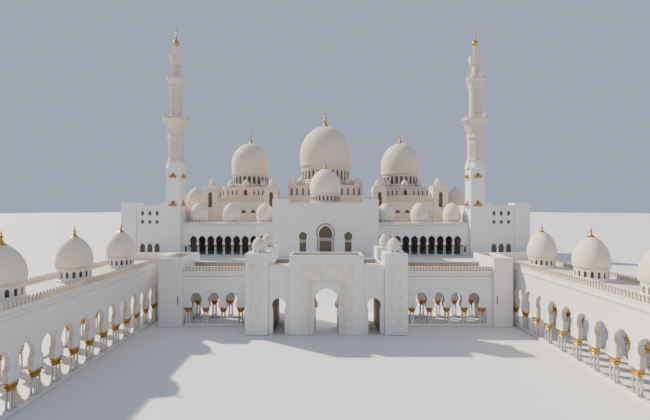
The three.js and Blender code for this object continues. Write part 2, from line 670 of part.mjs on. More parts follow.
// A tier ringed by eight small domes, with a round hole for the great dome
function domeTier({ dome, tier, x }) {
  const base = hall.roofTop + seat;
  const body = cutSquare(x, tier.half, [base, tier.top]);
  const room = cutSquare(x, tier.half - tierWall, [base - 1, tier.top - tierWall]);
  const radius = dome.drum - dome.wall;
  const profile = [[0, 20], [radius, 20], [radius, tier.top + 1], [0, tier.top + 1]];
  const hole = turned(profile, [x, greatDomeY], dome.sides);
  const radii = { drum: domelet.drum * tier.domelet, radius: tier.domelet, point: 0.3 };
  const heights = ['foot', 'widest', 'apex', 'tip'].map((key) => [key, domelet[key] * tier.domelet]);
  const small = { ...radii, ...Object.fromEntries(heights) };
  const straight = tier.half - tier.domelet - 0.15;
  const slanted = tier.half * domeletStep;
  const domelets = [-1, 0, 1].flatMap((across) => [-1, 0, 1].map((along) => {
    const step = across && along ? slanted : straight;
    return { middle: !across && !along, at: [x + across * step, greatDomeY + along * step] };
  })).filter(({ middle }) => !middle).map(({ at }) => turned(domeOutside(small, tier.top - 0.1, 2), at, 6));
  return joined([cutFrom(body, [room, hole]), ...domelets]);
}

function hallTurret(turret, sign) {
  const at = [sign * turret.x, hallFrontY + turret.half];
  const base = hall.roofTop + seat;
  const x = [at[0] - turret.half, at[0] + turret.half];
  const y = [hallFrontY, hallFrontY + 2 * turret.half];
  const neck = turret.half * 0.62;
  const parts = [block(x, y, [base, turret.top - 2]), block(
    [at[0] - neck, at[0] + neck],
    [at[1] - neck, at[1] + neck],
    [base, turret.top],
  )];
  const drum = turret.cap * 0.85;
  const cap = { radius: turret.cap, drum, foot: 0.5, widest: 1.3, apex: 3.6, tip: turret.tip, point: 0.3 };
  parts.push(turned(domeOutside(cap, turret.top - 0.1, 2), at, 8));
  return joined(parts);
}

// A lower hall at each end of the prayer hall, open towards it, with an onion dome on its roof
function sideHallBlock(sign) {
  const inner = hall.half + seat;
  const x = [sign * inner, sign * sideHall.outer];
  const y = [hallFrontY, sideHall.backY];
  const body = block(x, y, [0, sideHall.roofTop]);
  const room = block(
    [sign * (inner - 1), sign * (sideHall.outer - sideHall.wall)],
    [y[0] + sideHall.wall, y[1] - sideHall.wall],
    [-1, sideHall.wallTop],
  );
  const places = [[sign * sideHall.domeX, sideHall.domeY]];
  const { outsides, insides } = roofDomes(sideHallDome, places, sideHall.roofTop);
  const windows = hallWindowY.slice(0, 3).map((middle) => prismAlongX(
    windowOutline(middle, sideHallWindow),
    [sign * (sideHall.outer - sideHall.wall - 1), sign * (sideHall.outer + 1)],
  ));
  return cutFrom(joined([body, ...outsides]), [room, ...insides, ...windows]);
}

addPiece('gate_block', gateBlock(), marble);
addPiece('portal_walls', portalWalls(), marble);
addPiece('portal_screen', portalScreen(), darkGlass);
addPiece('portal_roof', portalRoof(), marble);
addPiece('portal_dome', domeShell(portalDome, [0, portal.domeY], portal.roof[1] + seat), domeMarble);
addPiece('hall_walls', hallWalls(), marble);
addPiece('hall_roof', hallRoof(), marble);

for (const place of greatDomePlaces()) {
  addPiece(`${place.name}_tier`, domeTier(place), marble);
  const shell = domeShell(place.dome, [place.x, greatDomeY], place.tier.top + seat);
  addPiece(place.name, shell, domeMarble);
}

for (const side of sides) {
  const { name, sign } = side;
  const at = [sign * minaret.x, minaret.y];
  addPiece(`gate_link_${name}`, gateLink(sign), marble);
  addPiece(`gate_pylon_front_${name}`, gatePylon(sign, pylon.frontY), marble);
  addPiece(`gate_pylon_rear_${name}`, gatePylon(sign, pylon.rearY), marble);
  addPiece(`screen_front_${name}`, screenRow(side, screen.frontY, link.outer + seat, columnPair), marble);
  addPiece(`screen_rear_${name}`, screenRow(side, screen.rearY, pylon.outer + seat, columnSingle), marble);
  addPiece(`screen_roof_${name}`, screenRoof(side), marble);
  addPiece(`corner_block_${name}`, cornerBlock(side), marble);
  addPiece(`arcade_inner_${name}`, arcadeRow(side, side.arcadeInner, columnPair), marble);
  addPiece(`arcade_outer_${name}`, arcadeRow(side, side.arcadeInner + arcade.width, columnSingle), marble);
  addPiece(`arcade_roof_${name}`, arcadeRoof(side), marble);
  addPiece(`gallery_front_${name}`, galleryFront(sign), marble);
  addPiece(`gallery_roof_${name}`, galleryRoof(sign), marble);
  addPiece(`wing_${name}`, wingBlock(sign), marble);
  addPiece(`minaret_tower_${name}`, minaretTower(at), marble);
  addPiece(`minaret_octagon_${name}`, minaretStage(octagonStage, at, 8), marble);
  addPiece(`minaret_shaft_${name}`, minaretStage(shaftStage, at, 12), marble);
  addPiece(`minaret_lantern_${name}`, minaretLantern(at), marble);
  addPiece(`side_hall_${name}`, sideHallBlock(sign), marble);
  for (const turret of turrets) {
    addPiece(`${turret.name}_turret_${name}`, hallTurret(turret, sign), marble);
  }
}

export default building;
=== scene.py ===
import json
import math
import bpy
import bmesh
import numpy as np
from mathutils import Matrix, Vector

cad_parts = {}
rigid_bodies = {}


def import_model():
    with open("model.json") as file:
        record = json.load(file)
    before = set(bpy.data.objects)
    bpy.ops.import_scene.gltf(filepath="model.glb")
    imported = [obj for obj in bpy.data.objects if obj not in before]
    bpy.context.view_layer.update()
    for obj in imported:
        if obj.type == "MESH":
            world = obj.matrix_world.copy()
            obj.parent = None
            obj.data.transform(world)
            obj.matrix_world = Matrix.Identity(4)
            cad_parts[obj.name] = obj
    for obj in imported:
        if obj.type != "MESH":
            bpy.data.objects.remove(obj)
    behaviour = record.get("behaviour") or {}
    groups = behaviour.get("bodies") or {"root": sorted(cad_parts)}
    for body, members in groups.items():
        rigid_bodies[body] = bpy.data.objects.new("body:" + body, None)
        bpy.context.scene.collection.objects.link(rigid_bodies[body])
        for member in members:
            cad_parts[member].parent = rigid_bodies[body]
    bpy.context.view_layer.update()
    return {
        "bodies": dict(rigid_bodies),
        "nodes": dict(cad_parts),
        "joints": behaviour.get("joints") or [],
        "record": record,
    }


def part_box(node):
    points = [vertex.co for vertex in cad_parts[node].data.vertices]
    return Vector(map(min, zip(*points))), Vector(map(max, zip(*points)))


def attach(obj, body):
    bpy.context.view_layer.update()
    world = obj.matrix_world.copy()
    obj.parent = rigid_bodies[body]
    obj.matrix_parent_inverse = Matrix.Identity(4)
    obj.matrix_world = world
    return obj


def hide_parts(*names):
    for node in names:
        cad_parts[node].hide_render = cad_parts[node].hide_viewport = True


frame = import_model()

# Sizes are metres of the real building. The model is a tenth of that, and y counts from a base line
# in front of the building, where the camera stands.
site = {"scale": 0.1, "gateFrontY": 58.2}
site["baseY"] = site["gateFrontY"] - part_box("gate_block")[0][1] / site["scale"]


def toFrame(points):  # (building metres - base line) x scale
    return (np.asarray(points, float) - (0, site["baseY"], 0)) * site["scale"]


def nodeBox(node):  # a CAD node's lowest and highest corner, in building metres
    low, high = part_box(node)
    shift = np.array((0, site["baseY"], 0))
    return np.array(low) / site["scale"] + shift, np.array(high) / site["scale"] + shift


# Camera, sky and sun
view = {"place": (-0.25, 0, 21.2), "lens": 19.1, "sensor": 36.0, "farthest": 400}
cameraData = bpy.data.cameras.new("courtCamera")
cameraData.lens = view["lens"]
cameraData.sensor_width = view["sensor"]
cameraData.clip_end = view["farthest"]
camera = bpy.data.objects.new("courtCamera", cameraData)
camera.location = toFrame(view["place"])
camera.rotation_euler = (math.pi / 2, 0, 0)
bpy.context.collection.objects.link(camera)
bpy.context.scene.camera = camera

light = {"sunFrom": (-0.69, 0.39, 0.62), "sunPower": 7.2, "sunSize": 1.2, "sunColour": (1.0, 0.905, 0.78),
         "sky": (0.665, 0.77, 1.0), "skyPower": 0.60}


def addLight():
    sunData = bpy.data.lights.new("sun", "SUN")
    sunData.energy = light["sunPower"]
    sunData.angle = math.radians(light["sunSize"])
    sunData.color = light["sunColour"]
    sun = bpy.data.objects.new("sun", sunData)
    sun.rotation_euler = Vector(light["sunFrom"]).to_track_quat("Z", "Y").to_euler()
    bpy.context.collection.objects.link(sun)
    world = bpy.data.worlds.new("paleSky")
    bpy.context.scene.world = world
    world.use_nodes = True
    background = world.node_tree.nodes["Background"]
    background.inputs["Color"].default_value = (*light["sky"], 1)
    background.inputs["Strength"].default_value = light["skyPower"]


addLight()
print("camera and light ready")


# Shapes are dictionaries of points and face arrays. Local points are (along, depth, height).
def shapeOf(points, *faces, uvs=None):
    return {"points": np.asarray(points, float).reshape(-1, 3), "faces": list(faces),
            "uvs": uvs or [None] * len(faces)}


def joinShapes(shapes):  # one shape of all points, each face's numbers moved on
    points, faces, uvs, start = [], [], [], 0
    for part in shapes:
        points.append(part["points"])
        faces += [face + start for face in part["faces"]]
        uvs += part["uvs"]
        start += len(part["points"])
    return {"points": np.concatenate(points), "faces": faces, "uvs": uvs}


def copies(part, offsets):  # the same shape moved to each offset
    offsets = np.asarray(offsets, float).reshape(-1, 1, 3)
    count, size = len(offsets), len(part["points"])
    starts = (np.arange(count) * size)[:, None, None]
    faces = [(face[None] + starts).reshape(-1, face.shape[1]) for face in part["faces"]]
    uvs = [None if uv is None else np.tile(uv, (count, 1, 1)) for uv in part["uvs"]]
    return {"points": (part["points"][None] + offsets).reshape(-1, 3), "faces": faces, "uvs": uvs}


def moved(part, offset):  # point + offset
    return copies(part, [offset])


def scaled(part, factors):  # point x factors
    return {**part, "points": part["points"] * factors}


def gridFaces(rows, cols, wrapRows=False, wrapCols=False):  # quads between neighbouring rows and columns
    r, c = np.meshgrid(np.arange(rows - (not wrapRows)), np.arange(cols - (not wrapCols)), indexing="ij")
    r2, c2 = (r + 1) % rows, (c + 1) % cols
    return np.stack([r * cols + c, r2 * cols + c, r2 * cols + c2, r * cols + c2], -1).reshape(-1, 4)


def sweep(sections, closedPath=False):  # closed sections joined along a path, their ends capped
    rows, cols = sections.shape[:2]
    faces = [gridFaces(rows, cols, closedPath, True)]
    if not closedPath:
        around = np.arange(cols)
        faces += [around[None], (around + (rows - 1) * cols)[None]]
    return shapeOf(sections, *faces)


def turnedShape(profile, centre, segments, ripple=0, ripples=8):
    # Point = centre + r (1 + ripple cos(ripples a)) (cos a, sin a). Ends on the axis are closed
    profile = np.asarray(profile, float)
    angles = (np.arange(segments) + 0.5) * 2 * math.pi / segments
    onAxis = profile[:, 0] < 1e-6
    rings = profile[~onAxis]
    radius = rings[:, :1] * (1 + ripple * np.cos(ripples * angles))
    levels = np.repeat(rings[:, 1:], segments, 1)
    points = np.stack([radius * np.cos(angles), radius * np.sin(angles), levels], -1).reshape(-1, 3)
    count = len(rings)
    closed = not onAxis.any()
    lengths = np.concatenate([[0], np.cumsum(np.hypot(*np.diff(rings, axis=0).T)), [0]])
    r, c = np.meshgrid(np.arange(count - (not closed)), np.arange(segments), indexing="ij")
    turn = 2 * math.pi * rings[:, 0].max() / segments
    cornerPlaces = ((c, r), (c, r + 1), (c + 1, r + 1), (c + 1, r))
    uv = np.stack([np.stack([a * turn, lengths[b]], -1) for a, b in cornerPlaces], -2)
    faces, uvs = [gridFaces(count, segments, closed, True)], [uv.reshape(-1, 4, 2)]
    around = np.arange(segments)
    for isEnd, row in ((onAxis[0], 0), (onAxis[-1], count - 1)):
        if isEnd:
            points = np.concatenate([points, [(0, 0, profile[0 if row == 0 else -1, 1])]])
            edge = around + row * segments
            faces.append(np.stack([edge, np.roll(edge, -1), np.full(segments, len(points) - 1)], -1))
            uvs.append(None)
    return moved({"points": points, "faces": faces, "uvs": uvs}, (centre[0], centre[1], 0))


def boxShape(x, y, z, bevel=0.0):  # a block, its level edges chamfered
    x, y, z = sorted(x), sorted(y), sorted(z)
    levels = [(0, z[0]), (0, z[1])]
    if bevel:
        levels = [(bevel, z[0]), (0, z[0] + bevel), (0, z[1] - bevel), (bevel, z[1])]
    rows = [[(x[0] + b, y[0] + b, h), (x[1] - b, y[0] + b, h), (x[1] - b, y[1] - b, h),
             (x[0] + b, y[1] - b, h)] for b, h in levels]
    return sweep(np.array(rows))


def ringShape(x, y, section):  # a section of (outward, height) points carried round a rectangle
    x, y = sorted(x), sorted(y)
    out, height = np.asarray(section, float).T
    corners = [(x[0] - out, y[0] - out), (x[1] + out, y[0] - out), (x[1] + out, y[1] + out),
               (x[0] - out, y[1] + out)]
    return sweep(np.array([np.stack([cx, cy, height], -1) for cx, cy in corners]), closedPath=True)


def plateShape(outline, depth):  # a flat outline in (along, height) given a thickness
    outline = np.asarray(outline, float)
    rows = [np.stack([outline[:, 0], np.full(len(outline), d), outline[:, 1]], -1) for d in depth]
    return sweep(np.array(rows))


def rodShape(start, end, radius):  # a straight square bar between two points
    start, end = np.asarray(start, float), np.asarray(end, float)
    axis = (end - start) / np.linalg.norm(end - start)
    side = np.cross(axis, (0, 0, 1) if abs(axis[2]) < 0.9 else (1, 0, 0))
    side /= np.linalg.norm(side)
    other = np.cross(axis, side)
    angles = (np.arange(4) + 0.5) * math.pi / 2
    ring = radius * (np.cos(angles)[:, None] * side + np.sin(angles)[:, None] * other)
    return sweep(np.array([start + ring, end + ring]))


def pointedCurve(radius, rise, steps):  # two centres off the axis: x = R cos a - o, z = R sin a
    offset = (rise * rise - radius * radius) / (2 * radius)
    reach = radius + offset
    angle = np.linspace(0, math.asin(min(rise / reach, 1)), steps + 1)
    return np.stack([np.maximum(reach * np.cos(angle) - offset, 0), reach * np.sin(angle)], -1)


def domeCurve(radius, rise, point, steps):  # x = R cos t, z = H ((1 - p) sin t + p (1 - cos t))
    t = np.linspace(0, math.pi / 2, steps + 1)[:-1]
    return np.stack([radius * np.cos(t), rise * ((1 - point) * np.sin(t) + point * (1 - np.cos(t)))], -1)


def archHalf(arch, foot, lower=4, upper=9):  # the right half of a pointed horseshoe, from foot to apex
    turn = math.acos(min(arch["mouth"] / arch["radius"], 1))
    angle = np.linspace(turn, 0, lower + 1)[:-1]
    low = np.stack([arch["radius"] * np.cos(angle), arch["centre"] - arch["radius"] * np.sin(angle)], -1)
    high = pointedCurve(arch["radius"], arch["apex"] - arch["centre"], upper) + (0, arch["centre"])
    jamb = [(arch["mouth"], foot)]
    return np.concatenate([jamb, low, high] if turn > 0.01 else [jamb, high])


def plainArch(half, low, high, rise=1.3, steps=6):  # straight sides and a pointed head, rise x half tall
    arch = {"centre": high - half * rise, "radius": half, "mouth": half, "apex": high}
    return archHalf(arch, low, 1, steps)


def squareHalf(half, foot, top, steps=3):  # the right half of a square-headed opening
    head = np.stack([np.linspace(half, 0, steps + 1), np.full(steps + 1, top)], -1)
    return np.concatenate([[(half, foot)], head])


def wholeOutline(half):  # an outline from foot to foot, and each point's direction away from the opening
    inner = np.concatenate([half, (half * (-1, 1))[-2::-1]])
    tangent = np.gradient(inner, axis=0)
    tangent[0], tangent[-1] = (0, 1), (0, -1)
    normal = np.stack([tangent[:, 1], -tangent[:, 0]], -1)
    return inner, normal / np.linalg.norm(normal, axis=1, keepdims=True)


def alongOutline(rows):  # sections given as (points along the outline, depth), carried from foot to foot
    return sweep(np.stack([np.stack([p[:, 0], np.full(len(p), d), p[:, 1]], -1) for p, d in rows], 1))


bayJoin = {"sideShare": 0.62, "fewest": 4}  # how many of an outline's points join the bay's side


def openingBay(half, left, right, top, depth, band=0.0, raised=0.0):
    # A wall round an opening. Each outline point is joined to the bay's side or top, and the section
    # (reveal, raised band, face, back) is carried along the outline from foot to foot.
    count = len(half) - 1
    knee = min(math.ceil(count * bayJoin["sideShare"]), count - 2) if count > bayJoin["fewest"] else 0
    index = np.arange(count + 1)
    fraction = np.clip((index - knee - 1) / max(count - knee - 1, 1), 0, 1)
    outer = np.stack([1 - fraction, np.where(index <= knee, half[:, 1], top)], -1)
    outer = np.concatenate([outer * (right, 1), (outer * (-left, 1))[-2::-1]])
    inner, normal = wholeOutline(half)
    edge = inner + normal * band
    edge[[0, -1], 1] = inner[[0, -1], 1]
    rows = [(inner, depth), (inner, -raised)]
    if band:
        rows += [(edge, -raised), (edge, 0)]
    return alongOutline(rows + [(outer, 0), (outer, depth)])


def liningShape(half, depth, proud=0.03):  # a thin skin over an opening's reveal
    inner, normal = wholeOutline(half)
    skin, back = inner - normal * proud, inner + normal * 0.02
    for rim in (skin, back):
        rim[[0, -1], 1] = inner[[0, -1], 1]
    return alongOutline([(skin, depth[0]), (back, depth[0]), (back, depth[1]), (skin, depth[1])])


def paneShape(half, depth, spare=0.03):  # a thin plate that closes an opening
    x = np.maximum(half[:, 0] + spare, 0.01)
    rows = [np.stack([s * x, np.full(len(x), d), half[:, 1]], -1) for s, d in
            ((-1, depth[0]), (1, depth[0]), (1, depth[1]), (-1, depth[1]))]
    return sweep(np.stack(rows, 1))


def onWall(part, axis, face, inward=1, along=0.0):
    # Local points onto a wall along x or y: across = face + inward x depth
    s, d, z = part["points"].T
    flat = (along + s, face + inward * d) if axis == "x" else (face + inward * d, along + s)
    return {**part, "points": np.stack([*flat, z], -1)}


def allOnWall(parts, axis, face, inward=1, along=0.0):  # several parts onto the same wall
    return [onWall(part, axis, face, inward, along) for part in parts]


def onFace(part, centre, angle, distance):
    # Onto a wall that looks out at an angle: centre + (distance - depth) outward + along sideways
    s, d, z = part["points"].T
    reach = distance - d
    x = centre[0] + reach * math.cos(angle) - s * math.sin(angle)
    y = centre[1] + reach * math.sin(angle) + s * math.cos(angle)
    return {**part, "points": np.stack([x, y, z], -1)}


def onDrum(part, centre, radius, count):
    # Bent round a drum, count times: angle = along / radius + the copy's turn, reach = radius - depth
    s, d, z = part["points"].T
    angle = s / radius + (np.arange(count)[:, None] + 0.5) * 2 * math.pi / count
    reach = radius - d
    points = np.stack([centre[0] + reach * np.cos(angle), centre[1] + reach * np.sin(angle),
                       np.broadcast_to(z, angle.shape)], -1)
    return {**copies(part, np.zeros((count, 3))), "points": points.reshape(-1, 3)}


# Materials
def newMaterial(name, colour, roughness, metallic=0.0):  # a plain finish, to be given its pattern
    material = bpy.data.materials.new(name)
    material.use_nodes = True
    nodes, links = material.node_tree.nodes, material.node_tree.links
    shader = nodes["Principled BSDF"]
    setInputs(shader, {"Base Color": (*colour, 1), "Roughness": roughness, "Metallic": metallic})
    return material, nodes, links, shader


def addNode(nodes, kind, **values):
    node = nodes.new(kind)
    for key, value in values.items():
        setattr(node, key, value)
    return node


def setInputs(node, values):
    for socket, value in values.items():
        node.inputs[socket].default_value = value


def shade(colour, factor):  # colour x factor
    return (*[channel * factor for channel in colour], 1)


def addRamp(nodes, links, source, low, high):  # low and high are (position, colour)
    ramp = addNode(nodes, "ShaderNodeValToRGB")
    for element, (position, colour) in zip(ramp.color_ramp.elements, (low, high)):
        element.position = position
        element.color = colour
    links.new(source, ramp.inputs["Fac"])
    return ramp


def addBump(nodes, links, shader, source, strength, distance, invert=False):
    bump = addNode(nodes, "ShaderNodeBump", invert=invert)
    setInputs(bump, {"Strength": strength, "Distance": distance})
    links.new(source, bump.inputs["Height"])
    links.new(bump.outputs["Normal"], shader.inputs["Normal"])


steepness = 0.7  # a face looks along an axis where its normal's share of that axis is over this


def wallVector(nodes, links):  # (along the wall, height), picked by the way the face looks
    coordinate = addNode(nodes, "ShaderNodeTexCoord")
    split = addNode(nodes, "ShaderNodeSeparateXYZ")
    facing = addNode(nodes, "ShaderNodeSeparateXYZ")
    links.new(coordinate.outputs["Object"], split.inputs[0])
    links.new(coordinate.outputs["Normal"], facing.inputs[0])
    joined = addNode(nodes, "ShaderNodeCombineXYZ")
    for axis, first, target in (("X", "X", "X"), ("Z", "Z", "Y")):
        size = addNode(nodes, "ShaderNodeMath", operation="ABSOLUTE")
        above = addNode(nodes, "ShaderNodeMath", operation="GREATER_THAN")
        above.inputs[1].default_value = steepness
        pick = addNode(nodes, "ShaderNodeMix", data_type="FLOAT")
        links.new(facing.outputs[axis], size.inputs[0])
        links.new(size.outputs[0], above.inputs[0])
        links.new(above.outputs[0], pick.inputs["Factor"])
        links.new(split.outputs[first], pick.inputs["A"])
        links.new(split.outputs["Y"], pick.inputs["B"])
        links.new(pick.outputs["Result"], joined.inputs[target])
    return coordinate, joined


marbleLook = {"tone": 0.965, "jointWidth": 0.0028, "jointBlur": 0.6, "vein": 0.18,
              "cloud": {"Scale": 5.5, "Detail": 7, "Distortion": 1.4},
              "veinRamp": ((0.42, (0.90, 0.90, 0.91, 1)), (0.60, (1, 1, 1, 1))),
              "roughSpan": {"To Min": -0.08, "To Max": 0.12}, "bump": (0.25, 0.003)}


def marble(name, colour, joint, slab, course, roughness=0.42, fromUv=False):
    # Slabs with fine joints, a slight change of tone from slab to slab, and soft grey veins
    material, nodes, links, shader = newMaterial(name, colour, roughness)
    coordinate, flat = wallVector(nodes, links)
    brick = addNode(nodes, "ShaderNodeTexBrick", offset=0.5, squash=1.0)
    setInputs(brick, {"Color1": (*colour, 1), "Color2": shade(colour, marbleLook["tone"]), "Scale": 1.0,
                      "Mortar": shade(colour, joint), "Mortar Size": marbleLook["jointWidth"],
                      "Mortar Smooth": marbleLook["jointBlur"], "Brick Width": slab * site["scale"],
                      "Row Height": course * site["scale"]})
    links.new(coordinate.outputs["UV"] if fromUv else flat.outputs[0], brick.inputs["Vector"])
    cloud = addNode(nodes, "ShaderNodeTexNoise", noise_dimensions="3D")
    setInputs(cloud, marbleLook["cloud"])
    links.new(coordinate.outputs["Object"], cloud.inputs["Vector"])
    ramp = addRamp(nodes, links, cloud.outputs["Fac"], *marbleLook["veinRamp"])
    tone = addNode(nodes, "ShaderNodeMix", data_type="RGBA", blend_type="MULTIPLY")
    setInputs(tone, {"Factor": marbleLook["vein"]})
    links.new(brick.outputs["Color"], tone.inputs["A"])
    links.new(ramp.outputs["Color"], tone.inputs["B"])
    links.new(tone.outputs["Result"], shader.inputs["Base Color"])
    rough = addNode(nodes, "ShaderNodeMapRange")
    setInputs(rough, {socket: roughness + change for socket, change in marbleLook["roughSpan"].items()})
    links.new(cloud.outputs["Fac"], rough.inputs["Value"])
    links.new(rough.outputs["Result"], shader.inputs["Roughness"])
    addBump(nodes, links, shader, brick.outputs["Fac"], *marbleLook["bump"], invert=True)
    return material


cellStrength = 0.4


def cellMarble(name, colour, cellScale, low, high, depth, randomness=1.0, roughness=0.5):
    # Marble with small cells, as shallow carving or as dark inlaid dots
    material, nodes, links, shader = newMaterial(name, colour, roughness)
    coordinate = addNode(nodes, "ShaderNodeTexCoord")
    cells = addNode(nodes, "ShaderNodeTexVoronoi")
    setInputs(cells, {"Scale": cellScale, "Randomness": randomness})
    links.new(coordinate.outputs["Object"], cells.inputs["Vector"])
    ramp = addRamp(nodes, links, cells.outputs["Distance"], low, high)
    links.new(ramp.outputs["Color"], shader.inputs["Base Color"])
    addBump(nodes, links, shader, cells.outputs["Distance"], cellStrength, depth, invert=True)
    return material


goldLook = {"roughness": 0.34, "metallic": 0.85, "grain": {"Scale": 40, "Detail": 4}, "span": (0.35, 0.62),
            "bump": (0.35, 0.004)}


def gilding(name, dark, bright):  # gold leaf with a fine grain
    material, nodes, links, shader = newMaterial(name, bright, goldLook["roughness"], goldLook["metallic"])
    coordinate = addNode(nodes, "ShaderNodeTexCoord")
    grain = addNode(nodes, "ShaderNodeTexNoise")
    setInputs(grain, goldLook["grain"])
    links.new(coordinate.outputs["Object"], grain.inputs["Vector"])
    low, high = goldLook["span"]
    ramp = addRamp(nodes, links, grain.outputs["Fac"], (low, (*dark, 1)), (high, (*bright, 1)))
    links.new(ramp.outputs["Color"], shader.inputs["Base Color"])
    addBump(nodes, links, shader, grain.outputs["Fac"], *goldLook["bump"])
    return material


meshLook = {"roughness": 0.3, "metallic": 0.1, "randomness": 0.15, "line": 0.05, "fade": 0.16}


def darkScreen(name, colour, scale, edge=2.6):  # dark glass behind a fine bronze mesh
    material, nodes, links, shader = newMaterial(name, colour, meshLook["roughness"], meshLook["metallic"])
    coordinate = addNode(nodes, "ShaderNodeTexCoord")
    cells = addNode(nodes, "ShaderNodeTexVoronoi", feature="DISTANCE_TO_EDGE")
    setInputs(cells, {"Scale": scale, "Randomness": meshLook["randomness"]})
    links.new(coordinate.outputs["Object"], cells.inputs["Vector"])
    line, glass = (meshLook["line"], shade(colour, edge)), (meshLook["fade"], (*colour, 1))
    ramp = addRamp(nodes, links, cells.outputs["Distance"], line, glass)
    links.new(ramp.outputs["Color"], shader.inputs["Base Color"])
    return material


carvedColour = (0.82, 0.77, 0.68)
faintColour = (0.81, 0.785, 0.75)
shaftColour = (0.72, 0.68, 0.63)
finish = {
    "wall": marble("whiteMarble", (0.81, 0.785, 0.76), 0.86, 1.5, 0.75),
    "deck": marble("roofMarble", (0.82, 0.77, 0.70), 0.82, 1.2, 1.2),
    "dome": marble("domeMarble", (0.72, 0.635, 0.525), 0.93, 2.2, 1.1, fromUv=True, roughness=0.8),
    "smallDome": marble("smallDomeMarble", (0.79, 0.70, 0.59), 0.91, 0.9, 0.45, fromUv=True,
                        roughness=0.75),
    "warm": marble("warmMarble", (0.81, 0.675, 0.565), 0.88, 1.5, 0.75),
    "upper": marble("towerMarble", (0.64, 0.57, 0.49), 0.88, 1.2, 0.6),
    "crest": marble("crestMarble", (0.68, 0.56, 0.43), 0.88, 1.2, 0.6),
    # paleShade: painted shade, a beige-brown for arch reveals, ceilings, parapets' inner faces and lines
    # under ledges and cornices
    "paleShade": marble("paleShadeMarble", (0.66, 0.56, 0.45), 0.85, 0.6, 0.6, roughness=0.6),
    # deepShade: a darker painted shade, for the gate's passages, parapets' inner faces, the screens'
    # reveals and undersides, and the sheet behind the rails
    "deepShade": marble("deepShadeMarble", (0.38, 0.29, 0.21), 0.85, 0.6, 0.6, roughness=0.6),
    # a dark marble: painted shade for the gallery's inside, and also used for the portal's bars
    "inside": marble("shadeAndBarsMarble", (0.21, 0.185, 0.155), 0.85, 1.2, 1.2, roughness=0.7),
    # grooveShade: painted shade, a grey band laid flat on the wall for the shaded reveal of the portal's
    # recessed frame
    "grooveShade": marble("grooveShadeMarble", (0.33, 0.33, 0.35), 0.9, 1.2, 0.6, roughness=0.6),
    "shaft": cellMarble("inlaidMarble", shaftColour, 62, (0.30, (0.07, 0.055, 0.045, 1)),
                        (0.42, (*shaftColour, 1)), 0.001, 0.25, 0.3),
    # carved and faint: darker towards the cell edges, which the bump sinks: painted shade in the carving's
    # hollows
    "carved": cellMarble("carvedMarble", carvedColour, 15, (0.20, (*carvedColour, 1)),
                         (0.75, shade(carvedColour, 0.86)), 0.010),
    "faint": cellMarble("faintMarble", faintColour, 15, (0.20, (*faintColour, 1)),
                        (0.75, shade(faintColour, 0.93)), 0.008),
    "gold": gilding("gilding", (0.34, 0.17, 0.03), (0.66, 0.39, 0.09)),
    "window": darkScreen("darkScreen", (0.050, 0.038, 0.028), 60),
    "bronze": darkScreen("bronzeScreen", (0.050, 0.040, 0.018), 26, 3.0),
}
print("materials ready")

pieceCount = {"pieces": 0, "triangles": 0}
shading = {"sharpAngle": 32}


def makePiece(name, shapes, look, replaced=()):  # one mesh of all the shapes, its faces turned outwards
    part = joinShapes(shapes)
    mesh = bpy.data.meshes.new(name)
    mesh.vertices.add(len(part["points"]))
    mesh.vertices.foreach_set("co", toFrame(part["points"]).ravel())
    totals = np.concatenate([np.full(len(face), face.shape[1]) for face in part["faces"]])
    corners = np.concatenate([face.ravel() for face in part["faces"]])
    mesh.loops.add(len(corners))
    mesh.loops.foreach_set("vertex_index", corners.astype(np.int32))
    mesh.polygons.add(len(totals))
    starts = np.concatenate([[0], np.cumsum(totals)[:-1]])
    mesh.polygons.foreach_set("loop_start", starts.astype(np.int32))
    mesh.polygons.foreach_set("loop_total", totals.astype(np.int32))
    mesh.update(calc_edges=True)
    pairs = zip(part["faces"], part["uvs"])
    uvs = [np.zeros((face.size, 2)) if uv is None else uv.reshape(-1, 2) for face, uv in pairs]
    layer = mesh.uv_layers.new(name="surface")
    layer.data.foreach_set("uv", (np.concatenate(uvs) * site["scale"]).ravel())
    mesh.validate()
    work = bmesh.new()
    work.from_mesh(mesh)
    bmesh.ops.recalc_face_normals(work, faces=work.faces)
    work.to_mesh(mesh)
    work.free()
    mesh.shade_smooth()
    mesh.set_sharp_from_angle(angle=math.radians(shading["sharpAngle"]))
    mesh.materials.append(finish[look])
    piece = bpy.data.objects.new(name, mesh)
    bpy.context.collection.objects.link(piece)
    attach(piece, "root")
    if replaced:
        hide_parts(*replaced)
    pieceCount["pieces"] += 1
    pieceCount["triangles"] += int((totals - 2).sum())


def flipped(shapes, sign):  # mirrored across the middle of the front where sign is -1
    return [scaled(part, (sign, 1, 1)) for part in shapes]


def signOf(side):
    return 1 if side == "right" else -1


def makeHalf(name, side, shapes, look, replaced=()):  # a piece of one side, drawn on the right
    makePiece(f"{name}_{side}", flipped(shapes, signOf(side)), look, replaced)


# Finials, as shares of a cap's width and height: a concave cap with a ball and a spike on the small domes,
# and a wide thin flange under a slender stem with a crescent on the great ones
finials = {
    "cap": ((0, 0), (1, 0), (1.04, 0.02), (0.66, 0.09), (0.40, 0.18), (0.24, 0.29), (0.17, 0.38),
            (0.32, 0.43), (0.38, 0.48), (0.30, 0.53), (0.14, 0.57), (0.10, 0.62), (0.21, 0.66),
            (0.22, 0.70), (0.12, 0.74), (0.05, 0.80), (0.02, 1.0), (0, 1.0)),
    "flange": ((0, 0), (1, 0), (1.03, 0.015), (0.80, 0.05), (0.55, 0.10), (0.38, 0.16), (0.29, 0.23),
               (0.26, 0.33), (0.18, 0.36), (0.25, 0.40), (0.25, 0.44), (0.16, 0.48), (0.13, 0.58),
               (0.19, 0.61), (0.19, 0.64), (0.10, 0.68), (0.07, 0.78), (0.12, 0.81), (0.06, 0.84),
               (0, 0.85)),
    "sides": 20, "crescentShare": 0.85, "arcPoints": 17, "tubeSides": 6, "arc": 0.78, "tube": (0.17, 0.03),
    "reach": 0.8}


